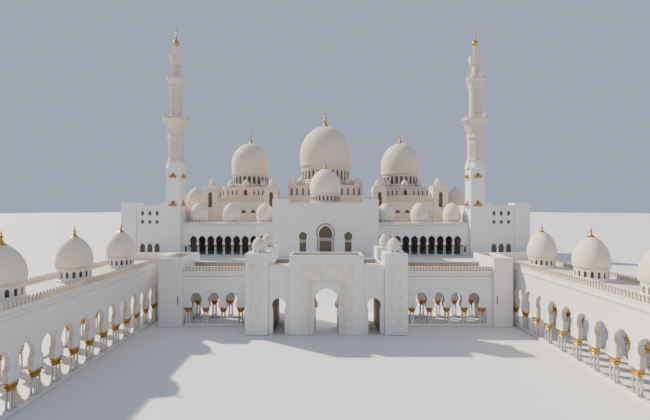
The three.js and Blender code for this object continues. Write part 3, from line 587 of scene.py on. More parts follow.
def crescentShape(centre, foot, radius):
    # A ring that stands on its foot, open at the top: tube = radius x (thick cos(arc / 2) + thin)
    arc = np.linspace(-finials["arc"], finials["arc"], finials["arcPoints"]) * math.pi
    thick, thin = finials["tube"]
    tube = radius * (thick * np.cos(arc / 2) + thin)[:, None]
    around = np.arange(finials["tubeSides"]) * 2 * math.pi / finials["tubeSides"]
    reach = radius * finials["reach"] + tube * np.cos(around)
    middle = foot + radius
    points = np.stack([centre[0] + reach * np.sin(arc)[:, None], centre[1] + tube * np.sin(around),
                       middle - reach * np.cos(arc)[:, None]], -1)
    return sweep(points)


def finialShapes(dome, centre, apex, tip):
    # The cap's foot lies on the dome's own curve, where the dome is as wide as the cap
    cap, rise = dome["cap"], dome["apex"] - dome["widest"]
    t = math.acos(cap / dome["radius"])
    lift = (1 - dome["point"]) * math.sin(t) + dome["point"] * (1 - math.cos(t))
    base = apex - rise * (1 - lift) - cap * 0.04
    kind = dome.get("finial", "cap")
    profile = np.array(finials[kind]) * (cap, tip - base) + (0, base)
    shapes = [turnedShape(profile, centre, finials["sides"])]
    if kind == "flange":
        foot = base + (tip - base) * finials["crescentShare"]
        shapes.append(crescentShape(centre, foot - 0.05, (tip - foot) / 2))
    return shapes


# Shares that every dome keeps, for its windows' bands, the wall above them, the ledge and the waist
domeRules = {"band": 0.3, "raised": 0.10, "archRise": 1.2, "wallAbove": 0.42, "plinth": (1.10, 1.03),
             "ledge": 0.86, "waist": 0.985, "lowerRings": 6, "paneShare": 0.5, "paneDepth": 0.18,
             "pane": 0.05}


def domeParts(dome, centre, base, segments, rings, windows):
    # Drum of arched windows, a bright ledge, a dome that swells past its ledge, and a gilded finial
    radius, drum = dome["radius"], dome["drum"]
    foot, widest, apex, tip = (base + dome[key] for key in ("foot", "widest", "apex", "tip"))
    low, high = (base + value for value in dome["windowZ"])
    share = 2 * math.pi * drum / windows
    half = dome["windowHalf"]
    outline = plainArch(half, low, high, domeRules["archRise"], 4)
    top = high + (foot - high) * domeRules["wallAbove"]
    band, raised = half * domeRules["band"], half * domeRules["raised"]
    bay = openingBay(outline, share / 2, share / 2, top + 0.01, dome["wall"], band, raised)
    walls = [onDrum(bay, centre, drum, windows)]
    sill = low - base
    wide, narrow = (drum * share for share in domeRules["plinth"])
    plinth = [(0, base - 0.02), (wide, base - 0.02), (wide, base + sill * 0.45),
              (narrow, base + sill * 0.6), (narrow, base + sill * 0.85), (drum * 0.99, low + 0.01),
              (0, low + 0.01)]
    walls.append(turnedShape(plinth, centre, segments))
    ledge = drum + (radius - drum) * domeRules["ledge"]
    lift = foot - top
    rim = [(0, top), (drum * 1.001, top), (drum + (ledge - drum) * 0.5, top + lift * 0.35),
           (ledge, top + lift * 0.6), (ledge, top + lift * 0.93), (ledge * 0.99, foot), (0, foot)]
    rims = [turnedShape(rim, centre, segments)]
    if not dome.get("beige"):  # a beige ledge goes into the crest's piece
        walls += rims
    # The shell leans out over the ledge: r = waist + (radius - waist) sin t, z rising evenly with t
    waist, turn = ledge * domeRules["waist"], np.linspace(0, math.pi / 2, domeRules["lowerRings"] + 1)[:-1]
    climb = turn / (math.pi / 2)
    lower = np.stack([waist + (radius - waist) * np.sin(turn), foot + (widest - foot) * climb], -1)
    upper = domeCurve(radius, apex - widest, dome["point"], rings) + (0, widest)
    shell = turnedShape(np.concatenate([[(0, foot)], lower, upper, [(0, apex)]]), centre, segments)
    depth = min(dome["wall"] * domeRules["paneShare"], domeRules["paneDepth"])
    panes = [onDrum(paneShape(outline, (depth, depth + domeRules["pane"])), centre, drum, windows)]
    return {"walls": walls, "rims": rims, "shell": [shell], "panes": panes,
            "gold": finialShapes(dome, centre, apex, tip)}


def gather(sets, key):  # one kind of part from several domes
    return [part for each in sets for part in each[key]]


def archWall(half, bay, middles, top, depth, band=0.0, raised=0.0):  # equal bays side by side
    return copies(openingBay(half, bay / 2, bay / 2, top, depth, band, raised),
                  [(m, 0, 0) for m in middles])


def frameBand(half, band, depth, raised):  # a raised frame round an opening, to stand on a wall
    inner, normal = wholeOutline(half)
    edge = inner + normal * band
    edge[[0, -1], 1] = inner[[0, -1], 1]
    return alongOutline([(inner, depth), (inner, -raised), (edge, -raised), (edge, depth)])


def parapetRing(x, y, floor, top, rim):  # a low wall round a roof, its top edges rounded
    section = [(-rim, floor - 0.3), (-0.01, floor - 0.3), (-0.01, floor), (0, floor), (0, top - 0.16),
               (-0.05, top - 0.05), (-0.16, top), (0.12 - rim, top), (0.03 - rim, top - 0.06),
               (-rim, top - 0.16)]
    return ringShape(x, y, section)


# the parapet's inner face gets a strip of painted shade
def parapetShadeStrip(x, y, floor, top, rim):  # the darker inner face of a parapet
    section = [(-rim - 0.03, floor - 0.1), (0.01 - rim, floor - 0.1), (0.01 - rim, top - 0.2),
               (-rim - 0.03, top - 0.2)]
    return ringShape(x, y, section)


def corniceRing(x, y, low, high, rim, reach):  # a moulded band with a rim above it
    rise = high - low
    section = [(-rim, low), (0.01, low), (reach * 0.5, low + rise * 0.12), (reach, low + rise * 0.2),
               (reach, low + rise * 0.45), (0.01, low + rise * 0.55), (0.01, high - 0.06), (-0.06, high),
               (-rim, high)]
    return ringShape(x, y, section)


def stripMoulding(axis, face, inward, span, low, high, reach):  # a band along one straight edge
    rise = high - low
    section = np.array([(0.05, low), (-0.01, low), (-reach * 0.5, low + rise * 0.2),
                        (-reach, low + rise * 0.35), (-reach, low + rise * 0.8), (-reach * 0.6, high),
                        (0.05, high)])
    rows = [np.stack([np.full(len(section), s), section[:, 0], section[:, 1]], -1) for s in span]
    return onWall(sweep(np.array(rows)), axis, face, inward)


reliefLook = {"flower": (0.40, 6), "bud": (0.28, 4, 0.8), "vine": (0.34, 0.07, 0.55), "plate": 0.02,
              "back": 0.02, "edgeFade": 6}


def leafRelief(u, w):
    # The higher of petalled domes, root(1 - (distance / petal edge)^2), and of a stem that follows a sine
    def flower(shiftU, shiftW, size, petals):
        x, y = (u + shiftU) % 1 - 0.5, (w + shiftW) % 1 - 0.5
        edge = size * (0.70 + 0.30 * np.cos(petals * np.arctan2(y, x)))
        return np.sqrt(np.clip(1 - (np.hypot(x, y) / edge) ** 2, 0, 1))
    (size, petals), (budSize, budPetals, budHeight) = reliefLook["flower"], reliefLook["bud"]
    swing, width, height = reliefLook["vine"]
    stem = np.abs((w % 1) - 0.5 - swing * np.sin(2 * math.pi * u))
    vine = np.sqrt(np.clip(1 - (stem / width) ** 2, 0, 1)) * height
    blooms = np.maximum(flower(0, 0, size, petals), budHeight * flower(0.5, 0.5, budSize, budPetals))
    return np.maximum(blooms, vine)


def reliefPanel(width, height, cell, raised, crown=0.0, fine=9):
    # Local grid: depth = -(plate + raised x relief(along / cell, height / cell)), with a skirt and a back.
    # With a crown the relief fades out above an arched line that rises by the crown over the middle.
    cells = [max(1, round((high - low) / cell)) for low, high in (width, height)]
    cols, rows = (count * fine + 1 for count in cells)
    u, w = np.meshgrid(np.linspace(0, cells[0], cols), np.linspace(0, cells[1], rows))
    edge = np.minimum(np.minimum(u, cells[0] - u), np.minimum(w, cells[1] - w))
    if crown:
        bow = np.sqrt(np.clip(1 - ((2 * u - cells[0]) / cells[0]) ** 2, 0, 1))
        edge = np.minimum(edge, cells[1] - crown / cell * (1 - bow) - w)
    lift = raised * leafRelief(u, w) * np.clip(edge * reliefLook["edgeFade"], 0, 1) + reliefLook["plate"]
    x = width[0] + u * (width[1] - width[0]) / cells[0]
    z = height[0] + w * (height[1] - height[0]) / cells[1]
    front = np.stack([x, -lift, z], -1)
    index = np.arange(rows * cols).reshape(rows, cols)
    border = np.concatenate([index[0], index[1:, -1], index[-1, -2::-1], index[-2:0:-1, 0]])
    back = front.reshape(-1, 3)[border] * (1, 0, 1) + (0, reliefLook["back"], 0)
    ring = np.arange(len(border)) + rows * cols
    skirt = np.stack([border, np.roll(border, -1), np.roll(ring, -1), ring], -1)
    return shapeOf(np.concatenate([front.reshape(-1, 3), back]), gridFaces(rows, cols), skirt, ring[None])


merlonOutline = np.array([(-0.18, 0), (-0.09, 0.10), (-0.17, 0.24), (-0.09, 0.44), (0, 0.72), (0.09, 0.44),
                          (0.17, 0.24), (0.09, 0.10), (0.18, 0)])


def merlons(start, end, pitch, size, depth):  # leaf-shaped battlements in a row along s
    count = max(1, round(abs(end - start) / pitch))
    places = start + (np.arange(count) + 0.5) * (end - start) / count
    return copies(plateShape(merlonOutline * size, depth), [(s, 0, 0) for s in places])


railing = {"bar": 0.05, "rail": (0.06, 0.04), "handrail": 0.09, "post": 0.12, "postStep": 3.2}


def balustrade(start, end, low, high, rows, depth):  # rails with rows of crossed bars, and posts
    bar, (railHalf, railRise), post = railing["bar"], railing["rail"], railing["post"]
    height = (high - low - 0.1) / rows
    count = max(1, round(abs(end - start) / height))
    step = (end - start) / count
    middle = (depth[0] + depth[1]) / 2
    places = [(start + (i + 0.5) * step, 0, low + 0.05 + j * height) for i in range(count)
              for j in range(rows)]
    cross = [rodShape((-step / 2 * s, middle, 0), (step / 2 * s, middle, height), bar) for s in (-1, 1)]
    parts = [copies(joinShapes(cross), places)]
    for j in range(rows + 1):
        z = low + 0.05 + j * height
        parts.append(boxShape((start, end), (middle - railHalf, middle + railHalf),
                              (z - railRise, z + railRise)))
    parts.append(boxShape((start, end), depth, (high - railing["handrail"], high), 0.02))
    posts = max(1, round(abs(end - start) / railing["postStep"]))
    spots = [(start + i * (end - start) / posts, 0, 0) for i in range(posts + 1)]
    parts.append(copies(boxShape((-post, post), depth, (low, high + 0.06), 0.03), spots))
    return joinShapes(parts)


def openBand(middle, half, low, high, count, depth):  # two rails with a row of diamonds between them
    step, centre, rise = 2 * half / count, (low + high) / 2, (high - low) / 2
    wide = step * 0.42
    diamond = plateShape([(-wide, 0), (0, -rise), (wide, 0), (0, rise)], depth)
    spots = [(middle - half + (i + 0.5) * step, 0, centre) for i in range(count)]
    rails = [boxShape((middle - half, middle + half), depth, (z - 0.07, z + 0.07)) for z in (low, high)]
    return rails + [copies(diamond, spots)]


# Piers of the court: four slender inlaid shafts on a plinth, under one flared capital of gilded leaves
pier = {"foot": 0.46, "neck": 2.45, "head": 3.38, "across": 0.29, "deep": 0.24, "shaft": 0.125,
        "spread": 0.73, "leaves": 8, "ripple": 0.075, "flatten": 0.74, "slab": (0.62, 0.42), "plinth": 0.3,
        "rearShift": -0.55,
        "capital": ((0, -0.02), (0.56, -0.02), (0.64, 0.06), (0.57, 0.12), (0.74, 0.30), (0.90, 0.50),
                    (0.76, 0.56), (0.90, 0.72), (1.0, 0.90), (0.96, 1.0), (0, 1.0))}


def capitalShape(neck, head, spread):  # a profile of two rows of leaves, turned with a ripple and flattened
    profile = [(r * spread, neck + z * (head - neck)) for r, z in pier["capital"]]
    return scaled(turnedShape(profile, (0, 0), 32, pier["ripple"], pier["leaves"]), (1, pier["flatten"], 1))


def pierShapes(places, sizes):
    radius, foot, neck, head = sizes["shaft"], sizes["foot"], sizes["neck"], sizes["head"]
    shaft = turnedShape([(0, foot), (radius * 1.5, foot), (radius * 1.5, foot + 0.09), (radius, foot + 0.2),
                         (radius * 0.94, neck + 0.1), (0, neck + 0.1)], (0, 0), 8)
    across, back = sizes["across"], sizes["deep"]
    corners = [(a, b) for a in (-across, across) for b in (-back, back)]
    wide, deep = sizes["slab"]
    spots = [(p, 0, 0) for p in places]
    slab = boxShape((-wide, wide), (-deep, deep), (head - 0.02, head + 0.12), 0.04)
    base = boxShape((-wide * 0.86, wide * 0.86), (-deep, deep), (foot - 0.2, foot + 0.01), 0.04)
    return {"stone": [copies(slab, spots), copies(base, spots)],
            "shafts": [copies(shaft, [(p + a, b, 0) for p in places for a, b in corners])],
            "gold": [copies(capitalShape(neck, head, sizes["spread"]), spots)]}


# Gatehouse
gate = {"frame": (2.81, 8.92, 0.4), "arch": {"centre": 5.5, "radius": 2.17, "mouth": 1.9, "apex": 7.9},
        "jamb": (2.09, 3.2, 3.32), "farArch": {"centre": 5.6, "radius": 1.98, "mouth": 1.53, "apex": 7.75},
        "farJamb": (1.94, 3.5, 3.62), "farWall": 0.45, "parapet": 0.9, "rim": 0.5, "band": 0.12,
        "relief": (-4.5, 4.5), "reliefZ": (9.15, 12.1), "crown": 1.6, "cell": 0.72, "raised": 0.035,
        "spandrel": {"x": (2.1, 2.72), "z": (3.6, 8.7), "cell": 0.5, "raised": 0.02},
        "strip": {"x": (3.05, 4.5), "z": (0.9, 8.9), "raised": 0.0245}, "trim": (0.1, 0.14, 0.07)}


def jambedArch(arch, jamb):  # a pointed horseshoe over wider straight jambs
    half, top, neck = jamb
    upper = archHalf(arch, neck, 5, 14)
    return np.concatenate([[(half, 0), (half, top)], upper])


def makeGate():
    low, high = nodeBox("gate_block")
    half, top, depth = high[0], high[2], high[1] - low[1]
    frameHalf, frameTop, frameDepth = gate["frame"]
    floor = top - gate["parapet"]
    near, far = jambedArch(gate["arch"], gate["jamb"]), jambedArch(gate["farArch"], gate["farJamb"])
    x, y = (low[0], high[0]), (low[1], high[1])
    outer = openingBay(squareHalf(frameHalf, 0, frameTop), half, half, floor, frameDepth, gate["band"],
                       0.04)
    panel = openingBay(near, half, half, floor, depth - frameDepth, 0.14, 0.05)
    inner = openingBay(far, frameHalf, frameHalf, frameTop, gate["farWall"])
    shapes = [onWall(outer, "x", y[0]), onWall(panel, "x", y[0] + frameDepth),
              onWall(inner, "x", y[1] - gate["farWall"] - 0.02),
              boxShape((x[0] + 0.3, x[1] - 0.3), (y[0] + 0.3, y[1] - 0.3), (floor - 0.12, floor + 0.02)),
              parapetRing(x, y, floor, top, gate["rim"])]
    makePiece("gateStone", shapes, "wall", ["gate_block"])
    # painted shade: dark skins over the passage's reveals and a strip on the parapet's inner face
    warm = [onWall(liningShape(near, (frameDepth + 0.06, depth - gate["farWall"] - 0.03)), "x", y[0]),
            onWall(liningShape(far, (0.02, gate["farWall"] - 0.02)), "x", y[1] - gate["farWall"] - 0.02),
            parapetShadeStrip(x, y, floor, top, gate["rim"])]
    makePiece("gateShadeLining", warm, "deepShade")
    head = reliefPanel(gate["relief"], gate["reliefZ"], gate["cell"], gate["raised"], gate["crown"])
    carving = [onWall(head, "x", y[0])]
    inner, outer = gate["spandrel"], gate["strip"]
    for s in (-1, 1):
        spandrel = reliefPanel(sorted(s * x for x in inner["x"]), inner["z"], inner["cell"],
                               inner["raised"], fine=7)
        strip = reliefPanel(sorted(s * x for x in outer["x"]), outer["z"], gate["cell"], outer["raised"])
        carving += [onWall(spandrel, "x", y[0] + frameDepth), onWall(strip, "x", y[0])]
    makePiece("gateCarving", carving, "carved")
    gap, width, proud = gate["trim"]
    trim = onWall(frameBand(squareHalf(frameHalf + gap, 0, frameTop + gap), width, 0.02, proud), "x", y[0])
    makePiece("gateTrim", [trim], "crest")
    print("gatehouse ready")


linkSizes = {"arch": {"centre": 5.0, "radius": 1.175, "mouth": 1.0, "apex": 6.2}, "parapet": 0.9,
             "rim": 0.4}


def makeLink(side):
    low, high = nodeBox("gate_link_" + side)
    middle, half = (low[0] + high[0]) / 2, (high[0] - low[0]) / 2
    floor, depth = high[2] - linkSizes["parapet"], high[1] - low[1]
    outline = archHalf(linkSizes["arch"], 0)
    x, y = (low[0], high[0]), (low[1], high[1])
    shapes = [onWall(openingBay(outline, half, half, floor, depth, 0.12, 0.03), "x", low[1], 1, middle),
              boxShape((x[0] + 0.2, x[1] - 0.2), (y[0] + 0.2, y[1] - 0.2), (floor - 0.12, floor + 0.02)),
              parapetRing(x, y, floor, high[2], linkSizes["rim"])]
    makePiece("linkStone_" + side, shapes, "wall", ["gate_link_" + side])
    # painted shade: dark skins over the arch's reveal and a strip on the parapet's inner face
    warm = [onWall(liningShape(outline, (0.05, depth - 0.05)), "x", low[1], 1, middle),
            parapetShadeStrip(x, y, floor, high[2], linkSizes["rim"])]
    makePiece("linkShadeLining_" + side, warm, "deepShade")


pylonSizes = {"top": 13.86, "panelHalf": 1.1, "panel": (1.4, 12.2), "cell": 0.73, "windows": 8,
              "dome": {"radius": 1.2, "drum": 1.08, "foot": 0.5, "widest": 0.9, "apex": 2.55, "tip": 3.3,
                       "point": 0.1, "wall": 0.12, "windowZ": (0.07, 0.40), "windowHalf": 0.13, "cap": 0.2}}


def makePylons(side):
    gold, dark = [], []
    for place in ("front", "rear"):
        node = f"gate_pylon_{place}_{side}"
        low, high = nodeBox(node)
        top, half = pylonSizes["top"], pylonSizes["panelHalf"]
        x, y = (low[0], high[0]), (low[1], high[1])
        centre = ((x[0] + x[1]) / 2, (y[0] + y[1]) / 2)
        shapes = [boxShape(x, y, (0, top), 0.12)]
        face, inward = (y[0], 1) if place == "front" else (y[1], -1)
        panel = reliefPanel((-half, half), pylonSizes["panel"], pylonSizes["cell"], 0.03)
        dome = domeParts(pylonSizes["dome"], centre, top, 32, 10, pylonSizes["windows"])
        gold += dome["gold"]
        dark += dome["panes"]
        makePiece(f"pylonStone_{place}_{side}", shapes + dome["walls"], "wall", [node])
        makePiece(f"pylonDome_{place}_{side}", dome["shell"], "smallDome")
        makePiece(f"pylonCarving_{place}_{side}", [onWall(panel, "x", face, inward, centre[0])], "carved")
    makePiece("pylonGold_" + side, gold, "gold")
    makePiece("pylonWindows_" + side, dark, "window")


screen = {"arch": {"centre": 4.9, "radius": 1.05, "mouth": 0.82, "apex": 6.15}, "bay": 3.2,
          "firstArch": 17.35, "frontY": 63, "rearY": 68, "thick": 0.9, "wallTop": 9.1, "deckTop": 9.97,
          "railTop": 10.9, "railPitch": 0.58, "arches": {"left": 3, "right": 4}, "solid": 0.75,
          "pylonOuter": 13.753, "deckInset": 0.02}


def makeScreens(side):
    count, thick, wallTop = screen["arches"][side], screen["thick"], screen["wallTop"]
    first = screen["firstArch"] - screen["bay"] / 2
    middles = screen["firstArch"] + screen["bay"] * np.arange(count)
    piers = first + screen["bay"] * np.arange(count + 1)
    foot = pier["head"] + 0.1
    outline = archHalf(screen["arch"], foot)
    parts = {"stone": [], "shafts": [], "gold": []}
    warm = []
    for row, face in (("front", screen["frontY"]), ("rear", screen["rearY"])):
        low, high = nodeBox(f"screen_{row}_{side}")
        near, far = sorted((abs(low[0]), abs(high[0])))
        y = (face, face + thick)
        shapes = [onWall(archWall(outline, screen["bay"], middles, wallTop, thick, 0.12, 0.04), "x", face)]
        shapes.append(boxShape((near, piers[0] - screen["solid"]), y, (0, foot)))
        shapes.append(boxShape((near, piers[0]), y, (foot, wallTop)))
        if far - piers[-1] > 0.05:
            shapes.append(boxShape((piers[-1], far), y, (foot, wallTop)))
        if far - piers[-1] > 1.0:
            shapes.append(boxShape((piers[-1] + screen["solid"], far), y, (0, foot)))
        inner = [p for p in piers if far - p > 0.5]
        cluster = pierShapes(inner, pier)
        middle = face + thick / 2
        for key, store in parts.items():
            store += allOnWall(cluster[key], "x", middle)
        end = min(piers[-1] + screen["solid"] - 0.01, far)
        ends = (piers[0] - screen["solid"] + 0.01, end)
        shapes.append(boxShape(ends, (y[0] - 0.05, y[1] + 0.05), (0, pier["plinth"]), 0.05))
        # painted shade: dark skins over the arches' reveals
        warm += [onWall(copies(liningShape(outline, (0.06, thick - 0.06)), [(m, 0, 0) for m in middles]),
                        "x", face)]
        makeHalf(f"screenStone_{row}", side, shapes, "wall", [f"screen_{row}_{side}"])
    makeHalf("screenBases", side, parts["stone"], "wall")
    makeHalf("screenShafts", side, parts["shafts"], "shaft")
    makeHalf("screenGold", side, parts["gold"], "gold")
    makeDeck(side, warm)


def makeDeck(side, warm):  # the roof over a screen, with a lattice rail along both edges
    low, high = nodeBox("screen_roof_" + side)
    inset = screen["deckInset"]
    near, far = screen["pylonOuter"], max(abs(low[0]), abs(high[0]))
    y = (screen["frontY"], screen["rearY"] + screen["thick"])
    z = (screen["wallTop"] + 0.005, screen["deckTop"])
    pylonGap = (nodeBox("gate_pylon_front_" + side)[1][1] + inset,
                nodeBox("gate_pylon_rear_" + side)[0][1] - inset)
    inner = nodeBox("gate_link_" + side)
    neck = max(abs(inner[0][0]), abs(inner[1][0])) + inset
    deck = [boxShape((near, far), y, z), boxShape((neck, near - 0.005), pylonGap, (z[0], z[1] - inset))]
    rails = []
    for face, inward in ((y[0], 1), (y[1], -1)):
        deck.append(stripMoulding("x", face, inward, (near, far), z[0] + 0.02, z[0] + 0.42, 0.12))
        count = round((far - near) / screen["railPitch"])
        rail = openBand((near + far) / 2, (far - near) / 2, z[1] + 0.07, screen["railTop"] - 0.07, count,
                        (0.02, 0.2))
        rails += allOnWall(rail, "x", face, inward)
        # painted shadow: a dark line under the deck's moulding
        warm.append(onWall(boxShape((near, far), (-0.03, 0.02), (z[0] - 0.07, z[0] + 0.02)), "x", face,
                           inward))
        # painted shade: a dark sheet behind the rail, so its gaps read as shade
        behind = boxShape((near, far), (0.24, 0.30), (z[1] - 0.02, screen["railTop"] - 0.12))
        warm.append(onWall(behind, "x", face, inward))
    # painted shade: a dark sheet under the deck, between the screen walls
    warm.append(boxShape((near, far), (y[0] + 1, y[1] - 1), (z[0] - 0.06, z[0] - 0.01)))
    makeHalf("screenDeck", side, deck, "deck", ["screen_roof_" + side])
    makeHalf("screenRail", side, rails, "deck")
    makeHalf("screenShadeLining", side, warm, "deepShade")


corner = {"x": {"left": (26.1, 30.4), "right": (30.35, 33.8)}, "slitX": {"left": 26.9, "right": 30.95},
          "y": (62.4, 71), "top": 12.5, "floor": 11.4, "rim": 0.4, "returnY": 66.5,
          "slit": (0.11, 4.1, 5.6), "front": 0.5}


def makeCorner(side):
    x, y, top, floor = corner["x"][side], corner["y"], corner["top"], corner["floor"]
    slitX = corner["slitX"][side]
    low, high = nodeBox("corner_block_" + side)
    end = max(abs(low[0]), abs(high[0]))
    half, slitLow, slitHigh = corner["slit"]
    slit = squareHalf(half, slitLow, slitHigh)
    bay = openingBay(slit, slitX - x[0], x[1] - slitX, floor, corner["front"], 0.06, 0.02)
    shapes = [onWall(bay, "x", y[0], 1, slitX), boxShape(x, (y[0], y[0] + corner["front"]), (0, slitLow)),
              boxShape(x, (y[0] + corner["front"], y[1]), (0, floor)),
              parapetRing(x, y, floor, top, corner["rim"]),
              boxShape((x[1] + 0.005, end), (corner["returnY"], y[1]), (0, top - 0.02), 0.06)]
    makeHalf("cornerStone", side, shapes, "wall", ["corner_block_" + side])
    # painted shade on the parapet's inner face
    makeHalf("cornerShadeLining", side, [parapetShadeStrip(x, y, floor, top, corner["rim"])], "paleShade")
    pane = onWall(paneShape(slit, (0.12, 0.16)), "x", y[0], 1, slitX)
    makeHalf("cornerWindow", side, [pane], "window")


# Side arcades. The left one stands nearer to the middle and has one bay more.
arcade = {
    "y": (31.45, 71), "wall": 1.0, "thin": 0.66, "width": 7.5, "wallTop": 10.4, "roofTop": 11.0,
    "lip": 0.35, "merlon": (0.48, 1.15), "ledge": (10.05, 10.5, 0.14), "solid": 0.72, "windows": 16,
    "left": {"inner": 32.6, "lastPier": 65.9, "bay": 3.0, "bays": 11, "domeDepths": (62.2, 50.7, 39.2),
             "domeInset": 4.45, "arch": {"centre": 5.45, "radius": 1.12, "mouth": 0.84, "apex": 7.0}},
    "right": {"inner": 34.7, "lastPier": 63.75, "bay": 3.1, "bays": 10, "domeDepths": (62.2, 50.7, 39.7),
              "domeInset": 4.15, "arch": {"centre": 5.65, "radius": 1.14, "mouth": 0.84, "apex": 7.3}},
    "dome": {"radius": 2.34, "drum": 2.08, "foot": 2.05, "widest": 2.75, "apex": 6.5, "tip": 8.1,
             "point": 0.2, "beige": True, "wall": 0.3, "windowZ": (0.5, 1.42), "windowHalf": 0.21,
             "cap": 0.57}}


def makeArcade(side):
    sizes, wall, thin, span = arcade[side], arcade["wall"], arcade["thin"], arcade["y"]
    inner, bay = sizes["inner"], sizes["bay"]
    piers = sizes["lastPier"] - bay * np.arange(sizes["bays"] + 1)
    middles = piers[:-1] - bay / 2
    foot = pier["head"] + 0.1
    outline = archHalf(sizes["arch"], foot)
    parts = {"stone": [], "shafts": [], "gold": []}
    warm = []
    for row, start in (("inner", inner), ("outer", inner + arcade["width"])):
        x = (start, start + thin) if row == "inner" else (start + wall - thin, start + wall)
        shapes = [onWall(archWall(outline, bay, middles, arcade["wallTop"], thin, 0.16, 0.06), "y", x[0])]
        past = arcade["solid"]
        for ends, solid in (((piers[0], span[1]), past), ((span[0], piers[-1]), -past)):
            shapes.append(boxShape(x, ends, (foot, arcade["wallTop"])))
            low = (ends[0] + solid, ends[1]) if solid > 0 else (ends[0], ends[1] + solid)
            if low[1] - low[0] > 0.02:
                shapes.append(boxShape(x, low, (0, foot)))
        axis = (x[0] + x[1]) / 2 + (pier["rearShift"] if row == "outer" else 0)
        for key, store in parts.items():
            store += allOnWall(pierShapes(piers, pier)[key], "y", axis)
        ends = (piers[-1] - arcade["solid"] + 0.01, piers[0] + arcade["solid"] - 0.01)
        shapes.append(boxShape((x[0] - 0.04, x[1] + 0.04), ends, (0, pier["plinth"]), 0.05))
        # painted shade: beige skins over the arches' reveals
        skin = liningShape(outline, (0.07, thin - 0.07), 0.05)
        warm.append(onWall(copies(skin, [(m, 0, 0) for m in middles]), "y", x[0]))
        makeHalf(f"arcadeStone_{row}", side, shapes, "wall", [f"arcade_{row}_{side}"])
    makeHalf("arcadeBases", side, parts["stone"], "wall")
    makeHalf("arcadeShafts", side, parts["shafts"], "shaft")
    makeArcadeRoof(side, sizes, parts["gold"], warm)


def makeArcadeRoof(side, sizes, gold, warm):
    inner, span, top = sizes["inner"], arcade["y"], arcade["roofTop"]
    outer = inner + arcade["width"] + arcade["wall"]
    low, high, reach = arcade["ledge"]
    pitch, size = arcade["merlon"]
    roof = [boxShape((inner, outer), span, (arcade["wallTop"] + 0.005, top - 0.02))]
    crest = []
    for face, inward in ((inner, 1), (outer, -1)):
        roof.append(stripMoulding("y", face, inward, span, low, high, reach))
        roof.append(onWall(boxShape(span, (-0.02, arcade["lip"]), (top - 0.12, top + 0.06), 0.03), "y",
                           face, inward))
        # painted shadow: a dark line under the ledge
        warm.append(onWall(boxShape(span, (-0.03, 0.02), (low - 0.09, low + 0.01)), "y", face, inward))
        crest.append(onWall(moved(merlons(*span, pitch, size, (0.04, 0.26)), (0, 0, top + 0.04)), "y", face,
                            inward))
    roof.append(boxShape((inner, outer), (span[1] - 0.4, span[1]), (top - 0.05, corner["top"] - 0.02),
                         0.04))
    # painted shade: a beige sheet as the arcade's ceiling
    inside = (inner + arcade["wall"], outer - arcade["wall"])
    ceiling = (arcade["wallTop"] - 0.08, arcade["wallTop"])
    warm.append(boxShape(inside, (span[0] + 0.05, span[1] - 0.05), ceiling))
    places = [(inner + sizes["domeInset"], depth) for depth in sizes["domeDepths"]]
    domes = [domeParts(arcade["dome"], place, top, 48, 14, arcade["windows"]) for place in places]
    roof += gather(domes, "walls")
    crest += gather(domes, "rims")
    makeHalf("arcadeRoof", side, roof, "deck", ["arcade_roof_" + side])
    makeHalf("arcadeCrest", side, crest, "crest")
    makeHalf("arcadeShadeLining", side, warm, "paleShade")
    makeHalf("arcadeDomes", side, gather(domes, "shell"), "smallDome")
    makeHalf("arcadeWindows", side, gather(domes, "panes"), "window")
    makeHalf("arcadeGold", side, gold + gather(domes, "gold"), "gold")


def makeCourt():
    makeGate()
    for side in ("left", "right"):
        makeLink(side)
        makePylons(side)
        makeScreens(side)
        makeCorner(side)
        makeArcade(side)
    print("court ready")


makeCourt()

# Portal of the prayer hall
portal = {"half": 23.7, "wall": 1.2, "top": 24.4, "pylonInner": 16.6, "pylonTop": 26.1, "pylonDepth": 5,
          "roof": (22.9, 23.8), "frameHalf": 6.6, "frameDepth": 0.5, "bayHalf": 3.5, "groove": 0.85,
          "frame": {"centre": 11.0, "radius": 4.35, "mouth": 3.9, "apex": 15.5},
          "arch": {"centre": 10.4, "radius": 3.05, "mouth": 2.8, "apex": 14.2},
          "window": {"centre": 9.4, "radius": 1.82, "mouth": 1.5, "apex": 11.55}, "windowX": 10.1,
          "windowFoot": 2.5, "domeY": 165, "relief": 1.2, "lattice": 0.7,
          "doorX": (-1.9, -0.95, 0, 0.95, 1.9), "barZ": (2.6, 5.0), "bandZ": (7.4, 8.7), "windows": 24,
          "bar": 0.05, "doorBar": 0.1, "barHalf": 2.79, "bandHalf": 2.76, "windowBand": (1.46, -0.5, 0.4),
          "panel": (2.5, 2.4, 22.2), "headCarving": ((-6.0, 6.0), (16.4, 20.6)), "headCrown": 2.4,
          "pylonCarving": ((-2.4, 2.4), (2.5, 22.1)),
          "dome": {"radius": 7.5, "drum": 7.1, "foot": 5.6, "widest": 7.6, "apex": 17.0, "tip": 20.8,
                   "point": 0.03, "wall": 0.5, "windowZ": (1.7, 4.0), "windowHalf": 0.46, "cap": 1.5}}


def latticeShapes(half, pitch, bar, depth):  # upright and level bars, cut to length by an opening's outline
    top = half[:, 1].max()
    rise = half[np.argmax(half[:, 0]):]
    bars = []
    for x in np.arange(pitch / 2, half[:, 0].max(), pitch):
        z = np.interp(-x, -rise[:, 0], rise[:, 1])
        bars += [boxShape((s * x - bar, s * x + bar), depth, (half[0, 1], z)) for s in (-1, 1)
                 if x < half[0, 0]]
    for z in np.arange(half[0, 1] + pitch, top - pitch / 2, pitch):
        x = np.interp(z, half[:, 1], half[:, 0])
        bars.append(boxShape((-x, x), depth, (z - bar, z + bar)))
    return bars


